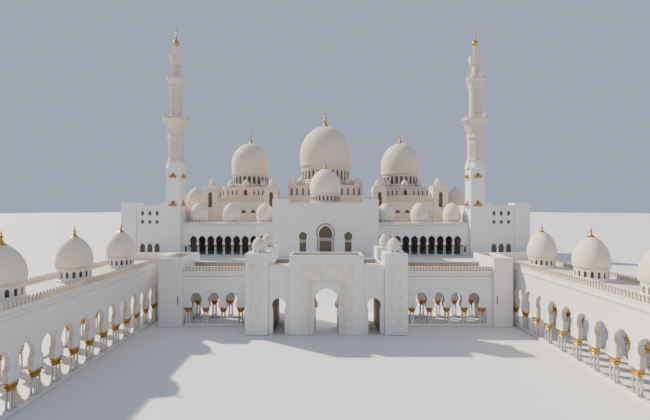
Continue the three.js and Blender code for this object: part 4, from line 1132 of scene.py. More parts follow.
def makePortalWalls(low, high):
    y, top, wall, deep = low[1], portal["top"], portal["wall"], portal["frameDepth"]
    frameHalf, bayHalf = portal["frameHalf"], portal["bayHalf"]
    frame, arch = archHalf(portal["frame"], 0, 5, 14), archHalf(portal["arch"], 0, 5, 14)
    shapes = [onWall(openingBay(arch, frameHalf, frameHalf, top, wall - deep, 0.3, 0.1), "x", y + deep),
              onWall(openingBay(frame, frameHalf, frameHalf, top, deep - 0.01, 0.45, 0.14), "x", y)]
    window = archHalf(portal["window"], portal["windowFoot"])
    for sign in (-1, 1):
        x = sign * portal["windowX"]
        shapes.append(onWall(openingBay(window, bayHalf, bayHalf, top, wall, 0.25, 0.08), "x", y, 1, x))
        shapes.append(boxShape((x - bayHalf, x + bayHalf), (y, y + wall), (0, portal["windowFoot"])))
        edge = sign * (portal["windowX"] + bayHalf)
        pylonX = sorted((sign * portal["pylonInner"], sign * portal["half"]))
        pylonY = (y, y + portal["pylonDepth"])
        shapes.append(boxShape((edge, sign * (portal["pylonInner"] - 0.005)), (y, y + wall), (0, top)))
        shapes.append(boxShape(pylonX, pylonY, (0, portal["pylonTop"] - 0.35)))
        shapes.append(corniceRing(pylonX, pylonY, portal["pylonTop"] - 1.3, portal["pylonTop"], 0.4, 0.10))
        sideX = sorted((sign * (portal["half"] - wall), sign * portal["half"]))
        shapes.append(boxShape(sideX, (pylonY[1] + 0.005, high[1]), (0, top), 0.05))
        panel = frameBand(squareHalf(*portal["panel"]), 0.22, 0.02, 0.07)
        shapes.append(onWall(panel, "x", y, 1, sign * (portal["pylonInner"] + portal["half"]) / 2))
    inner = portal["pylonInner"] - 0.02
    shapes.append(onWall(boxShape((-inner, inner), (-0.10, 0.3), (top - 1.1, top - 0.6), 0.04), "x", y))
    makePiece("portalStone", shapes, "wall", ["portal_walls"])
    # painted shade: a grey band inside the frame's edge for the shaded reveal of the recess
    groove = portal["groove"]
    inset = {key: value - (0 if key == "centre" else groove) for key, value in portal["frame"].items()}
    ring = onWall(frameBand(archHalf(inset, 0, 5, 14), groove, 0.02, 0.02), "x", y + deep)
    makePiece("portalGrooveShade", [ring], "grooveShade")
    return arch, window


def makePortal():
    low, high = nodeBox("portal_walls")
    y, wall = low[1], portal["wall"]
    arch, window = makePortalWalls(low, high)
    head = reliefPanel(*portal["headCarving"], portal["relief"], 0.07, portal["headCrown"])
    carving = [onWall(head, "x", y)]
    for sign in (-1, 1):
        middle = sign * (portal["pylonInner"] + portal["half"]) / 2
        panel = reliefPanel(*portal["pylonCarving"], portal["relief"], 0.06)
        carving.append(onWall(panel, "x", y, 1, middle))
    makePiece("portalCarving", carving, "faint")
    screenY = y + wall - 0.4
    x = portal["windowX"]
    makePiece("portalScreen", [onWall(paneShape(arch, (0, 0.15), -0.01), "x", screenY)], "bronze",
              ["portal_screen"])
    glaze = [onWall(paneShape(window, (0.3, 0.4)), "x", y, 1, s * x) for s in (-1, 1)]
    makePiece("portalGlazing", glaze, "bronze")
    pitch, bar, bandLow, bandHigh = portal["lattice"], portal["bar"], *portal["bandZ"]
    bars = allOnWall(latticeShapes(arch, pitch, bar, (-0.08, 0.01)), "x", screenY)
    for s in (-1, 1):
        bars += allOnWall(latticeShapes(window, pitch, bar, (0.24, 0.31)), "x", y, 1, s * x)
    wide, half = portal["doorBar"], portal["barHalf"]
    for doorX in portal["doorX"]:
        bars.append(boxShape((doorX - wide, doorX + wide), (screenY - 0.16, screenY), (0, bandLow)))
    bars += [boxShape((-half, half), (screenY - 0.14, screenY), (z - 0.12, z + 0.12))
             for z in portal["barZ"]]
    makePiece("portalBars", bars, "inside")
    band = openBand(0, portal["bandHalf"], bandLow, bandHigh, 6, (screenY - 0.18, screenY - 0.02))
    half, below, above = portal["windowBand"]
    for s in (-1, 1):
        band += openBand(s * x, half, bandLow + below, bandLow + above, 5, (y + 0.2, y + 0.31))
    makePiece("portalBand", band, "crest")
    # painted shade: beige skins over the reveals of the great arch and the side windows
    warm = [onWall(liningShape(arch, (portal["frameDepth"] + 0.05, wall - 0.42), 0.05), "x", y)]
    warm += [onWall(liningShape(window, (0.04, 0.24), 0.04), "x", y, 1, s * x) for s in (-1, 1)]
    makePiece("portalShadeLining", warm, "paleShade")
    low, high = nodeBox("portal_roof")
    deep = y + portal["pylonDepth"]
    roof = [boxShape((low[0], high[0]), (deep + 0.01, high[1]), portal["roof"]),
            boxShape((-portal["pylonInner"], portal["pylonInner"]), (low[1], deep), portal["roof"])]
    makePiece("portalRoof", roof, "deck", ["portal_roof"])
    dome = domeParts(portal["dome"], (0, portal["domeY"]), portal["roof"][1], 72, 22, portal["windows"])
    makePiece("portalDrum", dome["walls"], "upper")
    makePiece("portalDome", dome["shell"], "smallDome", ["portal_dome"])
    makePiece("portalWindows", dome["panes"], "window")
    makePiece("portalGold", dome["gold"], "gold")
    print("portal ready")


gallery = {"y": (161, 162), "inner": 23.703, "outer": 66.797, "top": 14.1, "roofTop": 14.95, "backY": 183,
           "bay": 4.02, "firstArch": 25.45, "arches": 10, "window": (0.6, 1.4, 4.1), "windowX": 65.2,
           "lintel": (4.2, 4.75), "endGap": 0.63, "thick": 1.0, "domeX": (29.3, 45.6, 61.3), "domeY": 167.5,
           "windows": 18, "arch": {"centre": 6.95, "radius": 1.7, "mouth": 1.38, "apex": 9.2},
           "pier": {"foot": 0.5, "neck": 3.95, "head": 4.85, "across": 0.28, "deep": 0.28, "shaft": 0.14,
                    "spread": 0.74, "slab": (0.60, 0.48)},
           "dome": {"radius": 4.2, "drum": 3.8, "foot": 2.3, "widest": 4.1, "apex": 9.85, "tip": 11.6,
                    "point": 0.12, "wall": 0.35, "windowZ": (0.6, 1.75), "windowHalf": 0.32, "cap": 0.6}}


def makeGallery(side):
    sizes, y = gallery, gallery["y"]
    near, far, top, bay = sizes["inner"], sizes["outer"], sizes["top"], sizes["bay"]
    middles = sizes["firstArch"] + bay * np.arange(sizes["arches"])
    piers = middles + bay / 2
    foot = sizes["pier"]["head"] + 0.1
    outline = archHalf(sizes["arch"], foot)
    thick = sizes["thick"]
    wall = archWall(outline, bay, middles[1:], top, thick, 0.2, 0.07)
    first = openingBay(outline, middles[0] - near, bay / 2, top, thick, 0.2, 0.07)
    shapes = [onWall(wall, "x", y[0]), onWall(first, "x", y[0], 1, middles[0])]
    half, low, high = sizes["window"]
    start, endMiddle = piers[-1] + sizes["endGap"], sizes["windowX"]
    endBay = openingBay(squareHalf(half, low, high), endMiddle - start, far - endMiddle, top, thick)
    shapes += [boxShape((piers[-1], start), y, (foot, top)), onWall(endBay, "x", y[0], 1, endMiddle),
               boxShape((start, far), y, (0, low)),
               boxShape((near, piers[-1] + 0.8), (y[0] - 0.1, y[1] + 0.1), (0, 0.32), 0.05)]
    cluster = pierShapes(piers, sizes["pier"])
    placed = {key: allOnWall(part, "x", y[0] + 0.5) for key, part in cluster.items()}
    placed["gold"].append(onWall(boxShape((start, far - 0.3), (-0.06, 0.02), sizes["lintel"], 0.02), "x",
                                 y[0]))
    makeHalf("galleryStone", side, shapes + placed["stone"], "wall", ["gallery_front_" + side])
    makeHalf("galleryShafts", side, placed["shafts"], "wall")
    # painted shade: dark skins over the arches' reveals, a dark ceiling and back wall, and a dark line
    # under the moulding
    skin = copies(liningShape(outline, (0.1, 0.9), 0.05), [(m, 0, 0) for m in middles])
    inside = [onWall(skin, "x", y[0]),
              boxShape((near, far), (y[1] + 0.3, sizes["backY"] - 0.2), (top - 0.1, top - 0.01)),
              boxShape((near, far), (sizes["backY"] - 0.25, sizes["backY"] - 0.05), (0, top - 0.12)),
              onWall(boxShape((near, far), (-0.04, 0.02), (top - 0.32, top - 0.18)), "x", y[0])]
    makeHalf("galleryShadedInside", side, inside, "inside")
    roof = [boxShape((near, far), (y[0], sizes["backY"] - 0.01), (top + 0.005, sizes["roofTop"] - 0.05)),
            stripMoulding("x", y[0], 1, (near, far), top - 0.2, top + 0.35, 0.18)]
    rail = balustrade(near, far, sizes["roofTop"] - 0.05, sizes["roofTop"] + 0.75, 1, (0.05, 0.3))
    domes = [domeParts(sizes["dome"], (x, sizes["domeY"]), sizes["roofTop"] - 0.05, 64, 18,
                       sizes["windows"]) for x in sizes["domeX"]]
    makeHalf("galleryRoof", side, roof + gather(domes, "walls"), "deck", ["gallery_roof_" + side])
    makeHalf("galleryRail", side, [onWall(rail, "x", y[0])], "wall")
    makeHalf("galleryDomes", side, gather(domes, "shell"), "smallDome")
    makeHalf("galleryWindows", side, gather(domes, "panes"), "window")
    makeHalf("galleryGold", side, placed["gold"] + gather(domes, "gold"), "gold")


wing = {"outer": 93.9, "inner": 66.803, "towerX": 73.303, "y": (158.5, 182.99), "behindY": 165.92,
        "top": 23.4, "wallTop": 22.7, "wall": 1.0, "panel": (75.9, 87.1), "panelTop": 22.2,
        "panelDepth": 0.4, "footZ": 0.6, "cornerTop": 24.5, "cornerDepth": 6.0,
        "columns": (77.6, 80.95, 84.3), "sideColumns": (168, 173, 178), "sideHalf": 2.5,
        "roof": (22.0, 22.65), "tall": (1.15, 1.2, 5.85), "square": (0.7, 14.9, 16.5),
        "small": (0.7, 18.7, 20.8), "blind": {"centre": 8.6, "radius": 3.2, "mouth": 3.2, "apex": 11.7},
        "blindFoot": 6.6, "fall": 4}


def windowColumn(half, outlines, top, depth):  # openings above each other in one strip of wall
    shapes, panes, level = [], [], 0
    for index, outline in enumerate(outlines):
        last = index + 1 == len(outlines)
        head = top if last else (outline[:, 1].max() + outlines[index + 1][:, 1].min()) / 2
        shapes.append(boxShape((-half, half), (0, depth), (level, outline[:, 1].min())))
        shapes.append(openingBay(outline, half, half, head, depth, 0.14, 0.05))
        panes.append(paneShape(outline, (0.12, 0.18)))
        level = head
    return shapes, panes


def makeWing(side):
    towerX, outer, wall = wing["towerX"], wing["outer"], wing["wall"]
    (y, back), panel, deep, wallTop = wing["y"], wing["panel"], wing["panelDepth"], wing["wallTop"]
    outlines = [plainArch(*wing["tall"]), squareHalf(*wing["square"]), plainArch(*wing["small"], 1.1)]
    shapes, panes = [], []
    middles = wing["columns"]
    edges = [panel[0], (middles[0] + middles[1]) / 2, (middles[1] + middles[2]) / 2, panel[1]]
    for index, middle in enumerate(middles):
        width = min(middle - edges[index], edges[index + 1] - middle)
        walls, glass = windowColumn(width, outlines, wing["panelTop"], wall - deep)
        shapes += allOnWall(walls, "x", y + deep, 1, middle)
        panes += allOnWall(glass, "x", y + deep, 1, middle)
        for low, high in ((edges[index], middle - width), (middle + width, edges[index + 1])):
            if high - low > 0.01:
                shapes.append(boxShape((low, high), (y + deep, y + wall), (0, wing["panelTop"])))
    middle = (panel[0] + panel[1]) / 2
    frame = openingBay(squareHalf((panel[1] - panel[0]) / 2, wing["footZ"], wing["panelTop"]),
                       middle - towerX, outer - middle, wallTop, deep, 0.2, 0.05)
    shapes += [onWall(frame, "x", y, 1, middle),
               boxShape((towerX, outer), (y, y + deep), (0, wing["footZ"])),
               onWall(frameBand(archHalf(wing["blind"], wing["blindFoot"]), 0.2, 0.02, 0.07), "x", y + deep,
                      1, middles[1])]
    for low, high in ((towerX, panel[0] - 0.01), (panel[1] + 0.01, outer)):
        shapes.append(boxShape((low, high), (y + deep, y + wall), (0, wallTop)))
    for middle in wing["sideColumns"]:
        walls, glass = windowColumn(wing["sideHalf"], outlines, wallTop, wall)
        shapes += allOnWall(walls, "y", outer, -1, middle)
        panes += allOnWall(glass, "y", outer, -1, middle)
    sideEnds = (wing["sideColumns"][0] - wing["sideHalf"], wing["sideColumns"][-1] + wing["sideHalf"])
    skin = (outer - wall, outer)
    shapes += [boxShape(skin, (y + wall, sideEnds[0]), (0, wallTop)),
               boxShape(skin, (sideEnds[1], back), (0, wallTop)),
               boxShape((wing["inner"], outer - wall), (back - 1, back), (0, wallTop)),
               boxShape((wing["inner"], wing["inner"] + 1), (wing["behindY"], back - 1), (0, wallTop)),
               boxShape((wing["inner"] + 1, towerX + 1), (wing["behindY"], wing["behindY"] + 1),
                        (0, wallTop)),
               boxShape((towerX, towerX + 1), (y + wall, wing["behindY"]), (0, wallTop)),
               boxShape((towerX + 0.3, outer - 0.3), (y + 0.3, back - 0.3), wing["roof"]),
               boxShape((wing["inner"] + 0.3, towerX + 0.3), (wing["behindY"] + 0.3, back - 0.3),
                        wing["roof"]),
               parapetRing((towerX, outer), (y, back), wallTop, wing["top"], 0.5),
               parapetRing((wing["inner"], towerX - 0.01), (wing["behindY"], back), wallTop,
                           wing["top"] - 0.05, 0.5)]
    for span in ((towerX, panel[0] - 0.02), (panel[1] + 0.02, outer)):
        shapes.append(boxShape((span[0] - 0.01, span[1] + 0.01), (y - 0.06, y + wing["cornerDepth"]),
                               (0 if span[1] == outer else wallTop - wing["fall"], wing["cornerTop"]),
                               0.06))
    makeHalf("wingStone", side, shapes, "wall", ["wing_" + side])
    makeHalf("wingWindows", side, panes, "window")


minaret = {"x": 70.05, "y": 161.75, "half": 3.25, "squareTop": 40.6, "octagonFoot": 43.3,
           "balconyHalf": 1.5, "reach": 0.9, "balconies": ((22.5, 25.6), (35.5, 38.3)),
           "niche": (0.75, 46.0, 52.4), "octagon": 3.42, "sides": 48, "flare": (57.2, 62.7, 3.55, 5.75),
           "upperFlare": (78.1, 81.8, 2.95, 3.95), "strands": 10, "strandTurn": 0.9, "shaftZ": (65.4, 77.5),
           "shaft": 2.7, "ball": 1.33, "flareBend": 1.8, "flareRipple": 0.035,
           "corbels": ((0.5, 0.45, -0.35, -0.1), (0.78, 0.75, -0.12, 0.14), (1.04, 1.02, 0.12, 0.4)),
           "balconyRise": 1.6, "doorHalf": 0.62, "openingHalf": 0.34}

# The turned walls of the minarets' upper parts, as (radius, height) from below
towerWalls = {
    "octagon": ((0, 43.3), (3.75, 43.3), (3.85, 43.6), (3.85, 44.3), (3.6, 44.6), (3.42, 44.6),
                (3.42, 54.2), (3.75, 54.5), (3.75, 55.2), (3.55, 55.4), (3.55, 57.4), (0, 57.4)),
    "terrace": ((0, 62.65), (5.85, 62.65), (5.9, 62.8), (5.9, 63.2), (0, 63.2)),
    "shaft": ((0, 63.2), (3.1, 63.2), (3.1, 65.0), (2.7, 65.4), (2.7, 77.6), (2.95, 77.8), (2.95, 78.2),
              (0, 78.2)),
    "upperTerrace": ((0, 81.8), (4.05, 81.8), (4.05, 82.3), (0, 82.4)),
    "lanternCore": ((0, 82.4), (2.25, 82.4), (2.25, 82.8), (1.3, 82.9), (1.3, 88.9), (0, 88.9)),
    "lanternCrown": ((0, 88.85), (1.6, 88.85), (2.45, 89.3), (2.7, 91.0), (3.0, 92.3), (3.05, 93.0),
                     (2.6, 93.05), (1.2, 93.3), (0, 93.3)),
    "lanternNeck": ((0, 93.2), (1.2, 93.2), (0.65, 93.9), (0.55, 95.2), (1.2, 95.5), (1.2, 95.8),
                    (0.6, 96.05), (0.6, 96.7), (1.15, 96.95), (1.15, 97.2), (0.55, 97.4), (0.5, 98.1),
                    (0, 98.1)),
    "post": ((0, 82.7), (0.3, 82.7), (0.3, 83.0), (0.22, 83.2), (0.2, 88.4), (0.3, 88.8), (0.42, 89.3),
             (0, 89.3)),
    "spike": ((0.3, 101.6), (0.26, 102.3), (0.5, 102.7), (0.26, 103.1), (0.2, 103.8), (0.34, 104.1),
              (0.16, 104.5), (0.1, 105.0), (0, 105.1))}


def flareTiers(centre, spread, tiers, segments, ripples):
    # Rings of small niches, each wider than the one below: radius = first + (last - first) x share^bend
    low, high, first, last = spread
    share = np.linspace(0, 1, tiers + 1)
    radii, levels = first + (last - first) * share ** minaret["flareBend"], low + (high - low) * share
    return [turnedShape([(0, z0), (r0, z0), (r0 + (r1 - r0) * 0.3, (z0 + z1) / 2), (r1, z1), (0, z1)],
                        centre, segments, minaret["flareRipple"], ripples)
            for r0, r1, z0, z1 in zip(radii, radii[1:], levels, levels[1:])]


def makeTower(side, centre):  # the square foot of a minaret, with its gilded balconies
    half, top = minaret["half"], minaret["squareTop"]
    (cx, cy), wide, reach = centre, minaret["balconyHalf"], minaret["reach"]
    x, y = (cx - half, cx + half), (cy - half, cy + half)
    foot = minaret["octagonFoot"]
    neck = [(0, top), (half * 1.38, top), (half * 1.3, top + 1.4), (3.85, foot), (0, foot)]
    tower = [boxShape(x, y, (0, top), 0.06), turnedShape(neck, centre, 8)]
    gold, dark = [], []
    sides = (("x", y[0], 1, cx), ("x", y[1], -1, cx), ("y", x[0], 1, cy), ("y", x[1], -1, cy))
    for axis, face, inward, along in sides:
        for level, (low, high) in enumerate(minaret["balconies"]):
            if level == 0 and axis == "y" and inward == -1:
                continue
            rail = low + minaret["balconyRise"]
            for size, out, a, b in minaret["corbels"]:
                across, z = (-wide * size, wide * size), (low + a, low + b)
                corbel = boxShape(across, (-reach * out, 0.05), z, 0.03)
                tower.append(onWall(corbel, axis, face, inward, along))
            body = boxShape((-wide, wide), (-reach, 0.02), (low + 0.4, rail - 0.25), 0.05)
            crown = moved(merlons(-wide, wide, 0.6, 1.0, (-reach, 0.12 - reach)), (0, 0, rail - 0.27))
            door = plainArch(minaret["doorHalf"], rail - 0.3, high + 0.1)
            leaf = paneShape(door, (-0.12, 0.02))
            gold += allOnWall((body, crown, leaf), axis, face, inward, along)
            opening = plainArch(minaret["openingHalf"], rail - 0.3, high - 0.3)
            dark.append(onWall(paneShape(opening, (-0.16, -0.1)), axis, face, inward, along))
    makeHalf("towerStone", side, tower, "wall", ["minaret_tower_" + side])
    return gold, dark


def makeMinaret(side):
    centre, sides = (minaret["x"], minaret["y"]), minaret["sides"]
    gold, dark = makeTower(side, centre)
    face = minaret["octagon"] * math.cos(math.pi / 8)
    octagon = [turnedShape(towerWalls["octagon"], centre, 8)]
    niche = plainArch(*minaret["niche"])
    octagon.append(onDrum(frameBand(niche, 0.2, 0.02, 0.08), centre, face, 8))
    octagon += flareTiers(centre, minaret["flare"], 5, 96, 24)
    octagon.append(turnedShape(towerWalls["terrace"], centre, sides))
    makeHalf("octagonStone", side, octagon, "upper", ["minaret_octagon_" + side])
    crest = [onDrum(moved(merlons(-1.1, 1.1, 1.1, 2.3, (-0.15, 0.15)), (0, 0, 63.15)), centre, 5.65, 16)]
    shaft = [turnedShape(towerWalls["shaft"], centre, sides)]
    turns = np.linspace(0, 1, 25)
    height = minaret["shaftZ"][0] + turns * (minaret["shaftZ"][1] - minaret["shaftZ"][0])
    edge = minaret["shaft"]
    corners = [(edge - 0.04, -0.08), (edge + 0.07, -0.08), (edge + 0.07, 0.08), (edge - 0.04, 0.08)]
    for direction in (-1, 1):
        for strand in range(minaret["strands"]):
            start = strand * 2 * math.pi / minaret["strands"]
            angle = direction * turns * math.pi * minaret["strandTurn"] + start
            x, y = np.cos(angle), np.sin(angle)
            rows = [np.stack([centre[0] + r * x, centre[1] + r * y, height + lift], -1)
                    for r, lift in corners]
            shaft.append(sweep(np.stack(rows, 1)))
    shaft += flareTiers(centre, minaret["upperFlare"], 4, 72, 18)
    shaft.append(turnedShape(towerWalls["upperTerrace"], centre, sides))
    crest.append(onDrum(moved(merlons(-0.98, 0.98, 0.98, 2.0, (-0.12, 0.12)), (0, 0, 82.3)), centre, 3.9,
                        12))
    makeHalf("shaftStone", side, shaft, "upper", ["minaret_shaft_" + side])
    lantern = [turnedShape(towerWalls[key], centre, segments)
               for key, segments in (("lanternCore", sides), ("lanternCrown", 8), ("lanternNeck", 24))]
    post = turnedShape(towerWalls["post"], (0, 0), 10)
    lantern.append(onDrum({**post, "points": post["points"][:, [1, 0, 2]]}, centre, 1.95, 8))
    makeHalf("lanternStone", side, lantern, "upper", ["minaret_lantern_" + side])
    low, radius = 98.0, minaret["ball"]
    turn = np.linspace(0, math.pi * 0.92, 13)
    ball = np.stack([radius * np.sin(turn), low + radius * (1 - np.cos(turn))], -1)
    gold += [turnedShape(np.concatenate([ball, towerWalls["spike"]]), centre, 24),
             crescentShape(centre, 105.0, 0.8)]
    makeHalf("minaretCrest", side, crest, "crest")
    makeHalf("minaretGold", side, gold, "gold")
    makeHalf("minaretWindows", side, dark, "window")


# Prayer hall
hall = {"half": 65, "y": (183, 250), "wall": 1.5, "wallTop": 26.5, "roofTop": 27.5, "door": (2.6, 9.5),
        "domeY": 222.2, "lunette": (1.2, 19.6, 21.3), "lunetteX": [28.1 + 5.1 * i for i in range(8)],
        "merlon": (1.0, 2.2), "cornice": (26.0, 26.9, 0.45), "backWindow": (1.3, 5, 13),
        "backX": (-60, 60, 21), "sideY": (238, 247, 3),
        "course": ((-0.02, 17.2), (0.1, 17.3), (0.15, 17.7), (0.1, 17.8), (-0.02, 17.8))}


def wallWindows(places, half, low, high, band=0.25, rise=1.4):  # raised frames and dark panes on a wall
    outline = plainArch(half, low, high, rise)
    spots = [(p, 0, 0) for p in places]
    frames = copies(frameBand(outline, band, 0.02, 0.10), spots)
    return frames, copies(paneShape(outline, (-0.05, 0.02)), spots)


def makeHall():
    half, y, top, wall = hall["half"], hall["y"], hall["wallTop"], hall["wall"]
    doorHalf, doorTop = hall["door"]
    shapes = [boxShape((-half, half), (y[1] - wall, y[1]), (0, top)),
              boxShape((-doorHalf, doorHalf), (y[0], y[0] + wall), (doorTop, top))]
    panes = []
    for sign in (-1, 1):
        shapes.append(boxShape((sign * half, sign * (half - wall)), (y[0] + wall, y[1] - wall), (0, top)))
        shapes.append(boxShape((sign * doorHalf, sign * half), (y[0], y[0] + wall), (0, top)))
    lunettes = [s * x for s in (-1, 1) for x in hall["lunetteX"]]
    back, side = np.linspace(*hall["backX"]), np.linspace(*hall["sideY"])
    for axis, face, inward, places in (("x", y[0], 1, lunettes), ("x", y[1], -1, back),
                                       ("y", -half, 1, side), ("y", half, -1, side)):
        sets = [wallWindows(places, *hall["lunette"], 0.2, 1.1)]
        if axis == "x" and inward < 0:
            sets.append(wallWindows(places, *hall["backWindow"]))
        for frames, glass in sets:
            shapes.append(onWall(frames, axis, face, inward))
            panes.append(onWall(glass, axis, face, inward))
    shapes.append(ringShape((-half, half), y, hall["course"]))
    makePiece("hallStone", shapes, "warm", ["hall_walls"])
    makePiece("hallWindows", panes, "window")
    low, high, reach = hall["cornice"]
    roofTop = hall["roofTop"]
    brow = [(-0.6, top + 0.005), (0.01, top + 0.005), (0.01, low), (reach * 0.6, low + 0.2),
            (reach, low + 0.5), (reach, high), (0.1, high + 0.1), (0.1, roofTop), (-0.6, roofTop)]
    roof = [boxShape((-half + 0.5, half - 0.5), (y[0] + 0.5, y[1] - 0.5), (top + 0.005, roofTop - 0.1)),
            ringShape((-half, half), y, brow)]
    pitch, size = hall["merlon"]
    for axis, span, faces in (("x", (-half, half), y), ("y", (y[0] + 0.5, y[1] - 0.5), (-half, half))):
        crown = moved(merlons(*span, pitch, size, (0.05, 0.35)), (0, 0, roofTop - 0.05))
        roof += [onWall(crown, axis, face, inward) for face, inward in zip(faces, (1, -1))]
    makePiece("hallRoof", roof, "crest", ["hall_roof"])
    # painted shadow: a beige strip under the cornice
    under = [(-0.02, low - 0.45), (0.12, low - 0.4), (0.16, low - 0.02), (-0.02, low - 0.02)]
    makePiece("hallCorniceShadow", [ringShape((-half, half), y, under)], "paleShade")
    print("hall walls ready")


# Square tiers with cut corners, each ringed by eight small domes, under the great domes
tierSizes = {
    "cut": 0.2, "step": 0.65, "domeletWindows": 12,
    "domelet": {"drum": 0.85, "foot": 0.6, "widest": 1.0, "apex": 2.3, "tip": 2.75, "windowLow": 0.2,
                "windowHigh": 0.45, "windowHalf": 0.10, "cap": 0.14},
    "gable": {"half": 2.35, "foot": 35.82, "rise": 4.3, "band": 0.3},
    "main_dome": {"x": 0, "half": 22, "top": 35.8, "domelet": 2.3, "windows": 32, "segments": 128,
                  "gabled": True, "narrow": [2.7 + 3.45 * i for i in range(5)],
                  "narrowWindow": (0.48, 29.9, 34.0), "middle": None, "cornerWindow": (0.75, 29.9, 34.2)},
    "left_dome": {"x": -48, "half": 15.2, "top": 35.1, "domelet": 2.0, "windows": 24, "segments": 96,
                  "gabled": False, "narrow": [2.6 * i for i in range(2, 5)],
                  "narrowWindow": (0.38, 30.1, 33.0), "middle": (1.0, 30.1, 33.5),
                  "cornerWindow": (0.7, 30.1, 33.2)},
    "main": {"radius": 16.4, "drum": 15.5, "foot": 13.8, "widest": 19.9, "apex": 39.0, "tip": 49.1,
             "point": 0.03, "wall": 1.0, "windowZ": (4.1, 9.8), "windowHalf": 0.72, "cap": 3.2,
             "finial": "flange"},
    "side": {"radius": 12.0, "drum": 11.2, "foot": 8.9, "widest": 14.9, "apex": 28.9, "tip": 36.9,
             "point": 0.03, "wall": 0.9, "windowZ": (2.3, 7.0), "windowHalf": 0.84, "cap": 2.1,
             "finial": "flange"}}
tierSizes["right_dome"] = {**tierSizes["left_dome"], "x": 48}


def cutSquareShape(centre, half, levels):  # a square with cut corners, grown at each (reach, height)
    side = half * (1 - tierSizes["cut"])
    mitre = math.tan(math.pi / 8)
    rows = []
    for reach, z in levels:
        a, b = side + reach * mitre, half + reach
        outline = [(b, -a), (b, a), (a, b), (-a, b), (-b, a), (-b, -a), (-a, -b), (a, -b)]
        rows.append([(centre[0] + u, centre[1] + v, z) for u, v in outline])
    return sweep(np.array(rows))


def makeDomelets(centre, tier):  # eight small domes round a tier's edge
    sizes, size, top = tierSizes["domelet"], tier["domelet"], tier["top"]
    scaledKeys = ("drum", "foot", "widest", "apex", "tip", "windowHalf", "cap")
    dome = {key: sizes[key] * size for key in scaledKeys}
    windowZ = (sizes["windowLow"] * size, sizes["windowHigh"] * size)
    dome.update(radius=size, point=0.3, wall=0.15, windowZ=windowZ)
    straight, slanted = tier["half"] - size - 0.15, tier["half"] * tierSizes["step"]
    places = [(a * (slanted if a and b else straight), b * (slanted if a and b else straight))
              for a in (-1, 0, 1) for b in (-1, 0, 1) if a or b]
    return [domeParts(dome, (centre[0] + a, centre[1] + b), top, 36, 12, tierSizes["domeletWindows"])
            for a, b in places]


def makeTier(name, dome):
    tier, top, base = tierSizes[name], tierSizes[name]["top"], hall["roofTop"]
    half, centre, panes = tier["half"], (tier["x"], hall["domeY"]), []
    levels = [(0, base), (0, base + 1.0), (-0.15, base + 1.2), (-0.15, top - 1.5), (0.1, top - 1.2),
              (0.35, top - 0.9), (0.35, top - 0.5), (0.05, top - 0.3), (0.05, top)]
    shapes = [cutSquareShape(centre, half, levels)]
    slanted = half * (2 - tierSizes["cut"]) / math.sqrt(2)
    narrow = wallWindows([s * x for s in (-1, 1) for x in tier["narrow"]], *tier["narrowWindow"], 0.2)
    wide = wallWindows([0], *tier["cornerWindow"], 0.3)
    fronts = [narrow] + ([wallWindows([0], *tier["middle"], 0.35)] if tier["middle"] else [])
    gable = tierSizes["gable"]
    curve = pointedCurve(gable["half"], gable["rise"], 9) + (0, gable["foot"])
    front = plateShape(wholeOutline(curve)[0], (0.1, 1.5))
    trim = frameBand(curve, gable["band"], 1.6, 0.1)
    for turn in range(4):
        angle = turn * math.pi / 2
        for frames, glass in fronts:
            shapes.append(onFace(frames, centre, angle, half - 0.15))
            panes.append(onFace(glass, centre, angle, half - 0.15))
        diagonal = angle + math.pi / 4
        shapes.append(onFace(wide[0], centre, diagonal, slanted - 0.15))
        panes.append(onFace(wide[1], centre, diagonal, slanted - 0.15))
        if tier["gabled"]:
            shapes += [onFace(part, centre, diagonal, slanted) for part in (front, trim)]
    domelets = makeDomelets(centre, tier)
    shapes += gather(domelets, "walls") + gather(domelets, "gold")
    makePiece(name + "TierStone", shapes, "warm", [name + "_tier"])
    great = domeParts(dome, centre, top, tier["segments"], 30, tier["windows"])
    makePiece(name + "Drum", great["walls"], "upper")
    makePiece(name + "Shell", great["shell"], "dome", [name])
    makePiece(name + "Domelets", gather(domelets, "shell"), "smallDome")
    makePiece(name + "Windows", panes + gather(domelets, "panes") + great["panes"], "window")
    makePiece(name + "Gold", great["gold"], "gold")


turrets = {"inner": {"x": 28.75, "half": 3.7, "top": 33.2, "tip": 5.6},
           "outer": {"x": 61, "half": 3.95, "top": 34.2, "tip": 5.1}, "cap": 1.9,
           "shoulder": {"inner": 3.4, "outer": 0}, "niche": (1.0, 22.7, 30.8), "pilasterFoot": 14.95,
           "steps": 9, "proud": 0.5, "drumShare": 0.85, "lift": 0.5,
           "dome": {"foot": 0.9, "widest": 1.6, "apex": 4.5, "point": 0.45, "wall": 0.2,
                    "windowZ": (0.3, 0.7), "windowHalf": 0.12, "cap": 0.3}}


def turretBody(centre, half, base, top, shoulder):  # square sections, rounded in where it has shoulders
    turn = np.linspace(0, math.pi / 2, turrets["steps"])
    cap = turrets["cap"]
    levels = [(half, base), (half, top - 0.35), (half - 0.3, top)]
    if shoulder:
        curve = zip(cap + (half - cap) * np.cos(turn), top - 2 + shoulder * np.sin(turn))
        levels = [(half, base), (half, top - 2)] + list(curve)[1:]
    corners = ((-1, -1), (1, -1), (1, 1), (-1, 1))
    rows = [[(centre[0] + a * h, centre[1] + b * h, z) for a, b in corners] for h, z in levels]
    return sweep(np.array(rows))


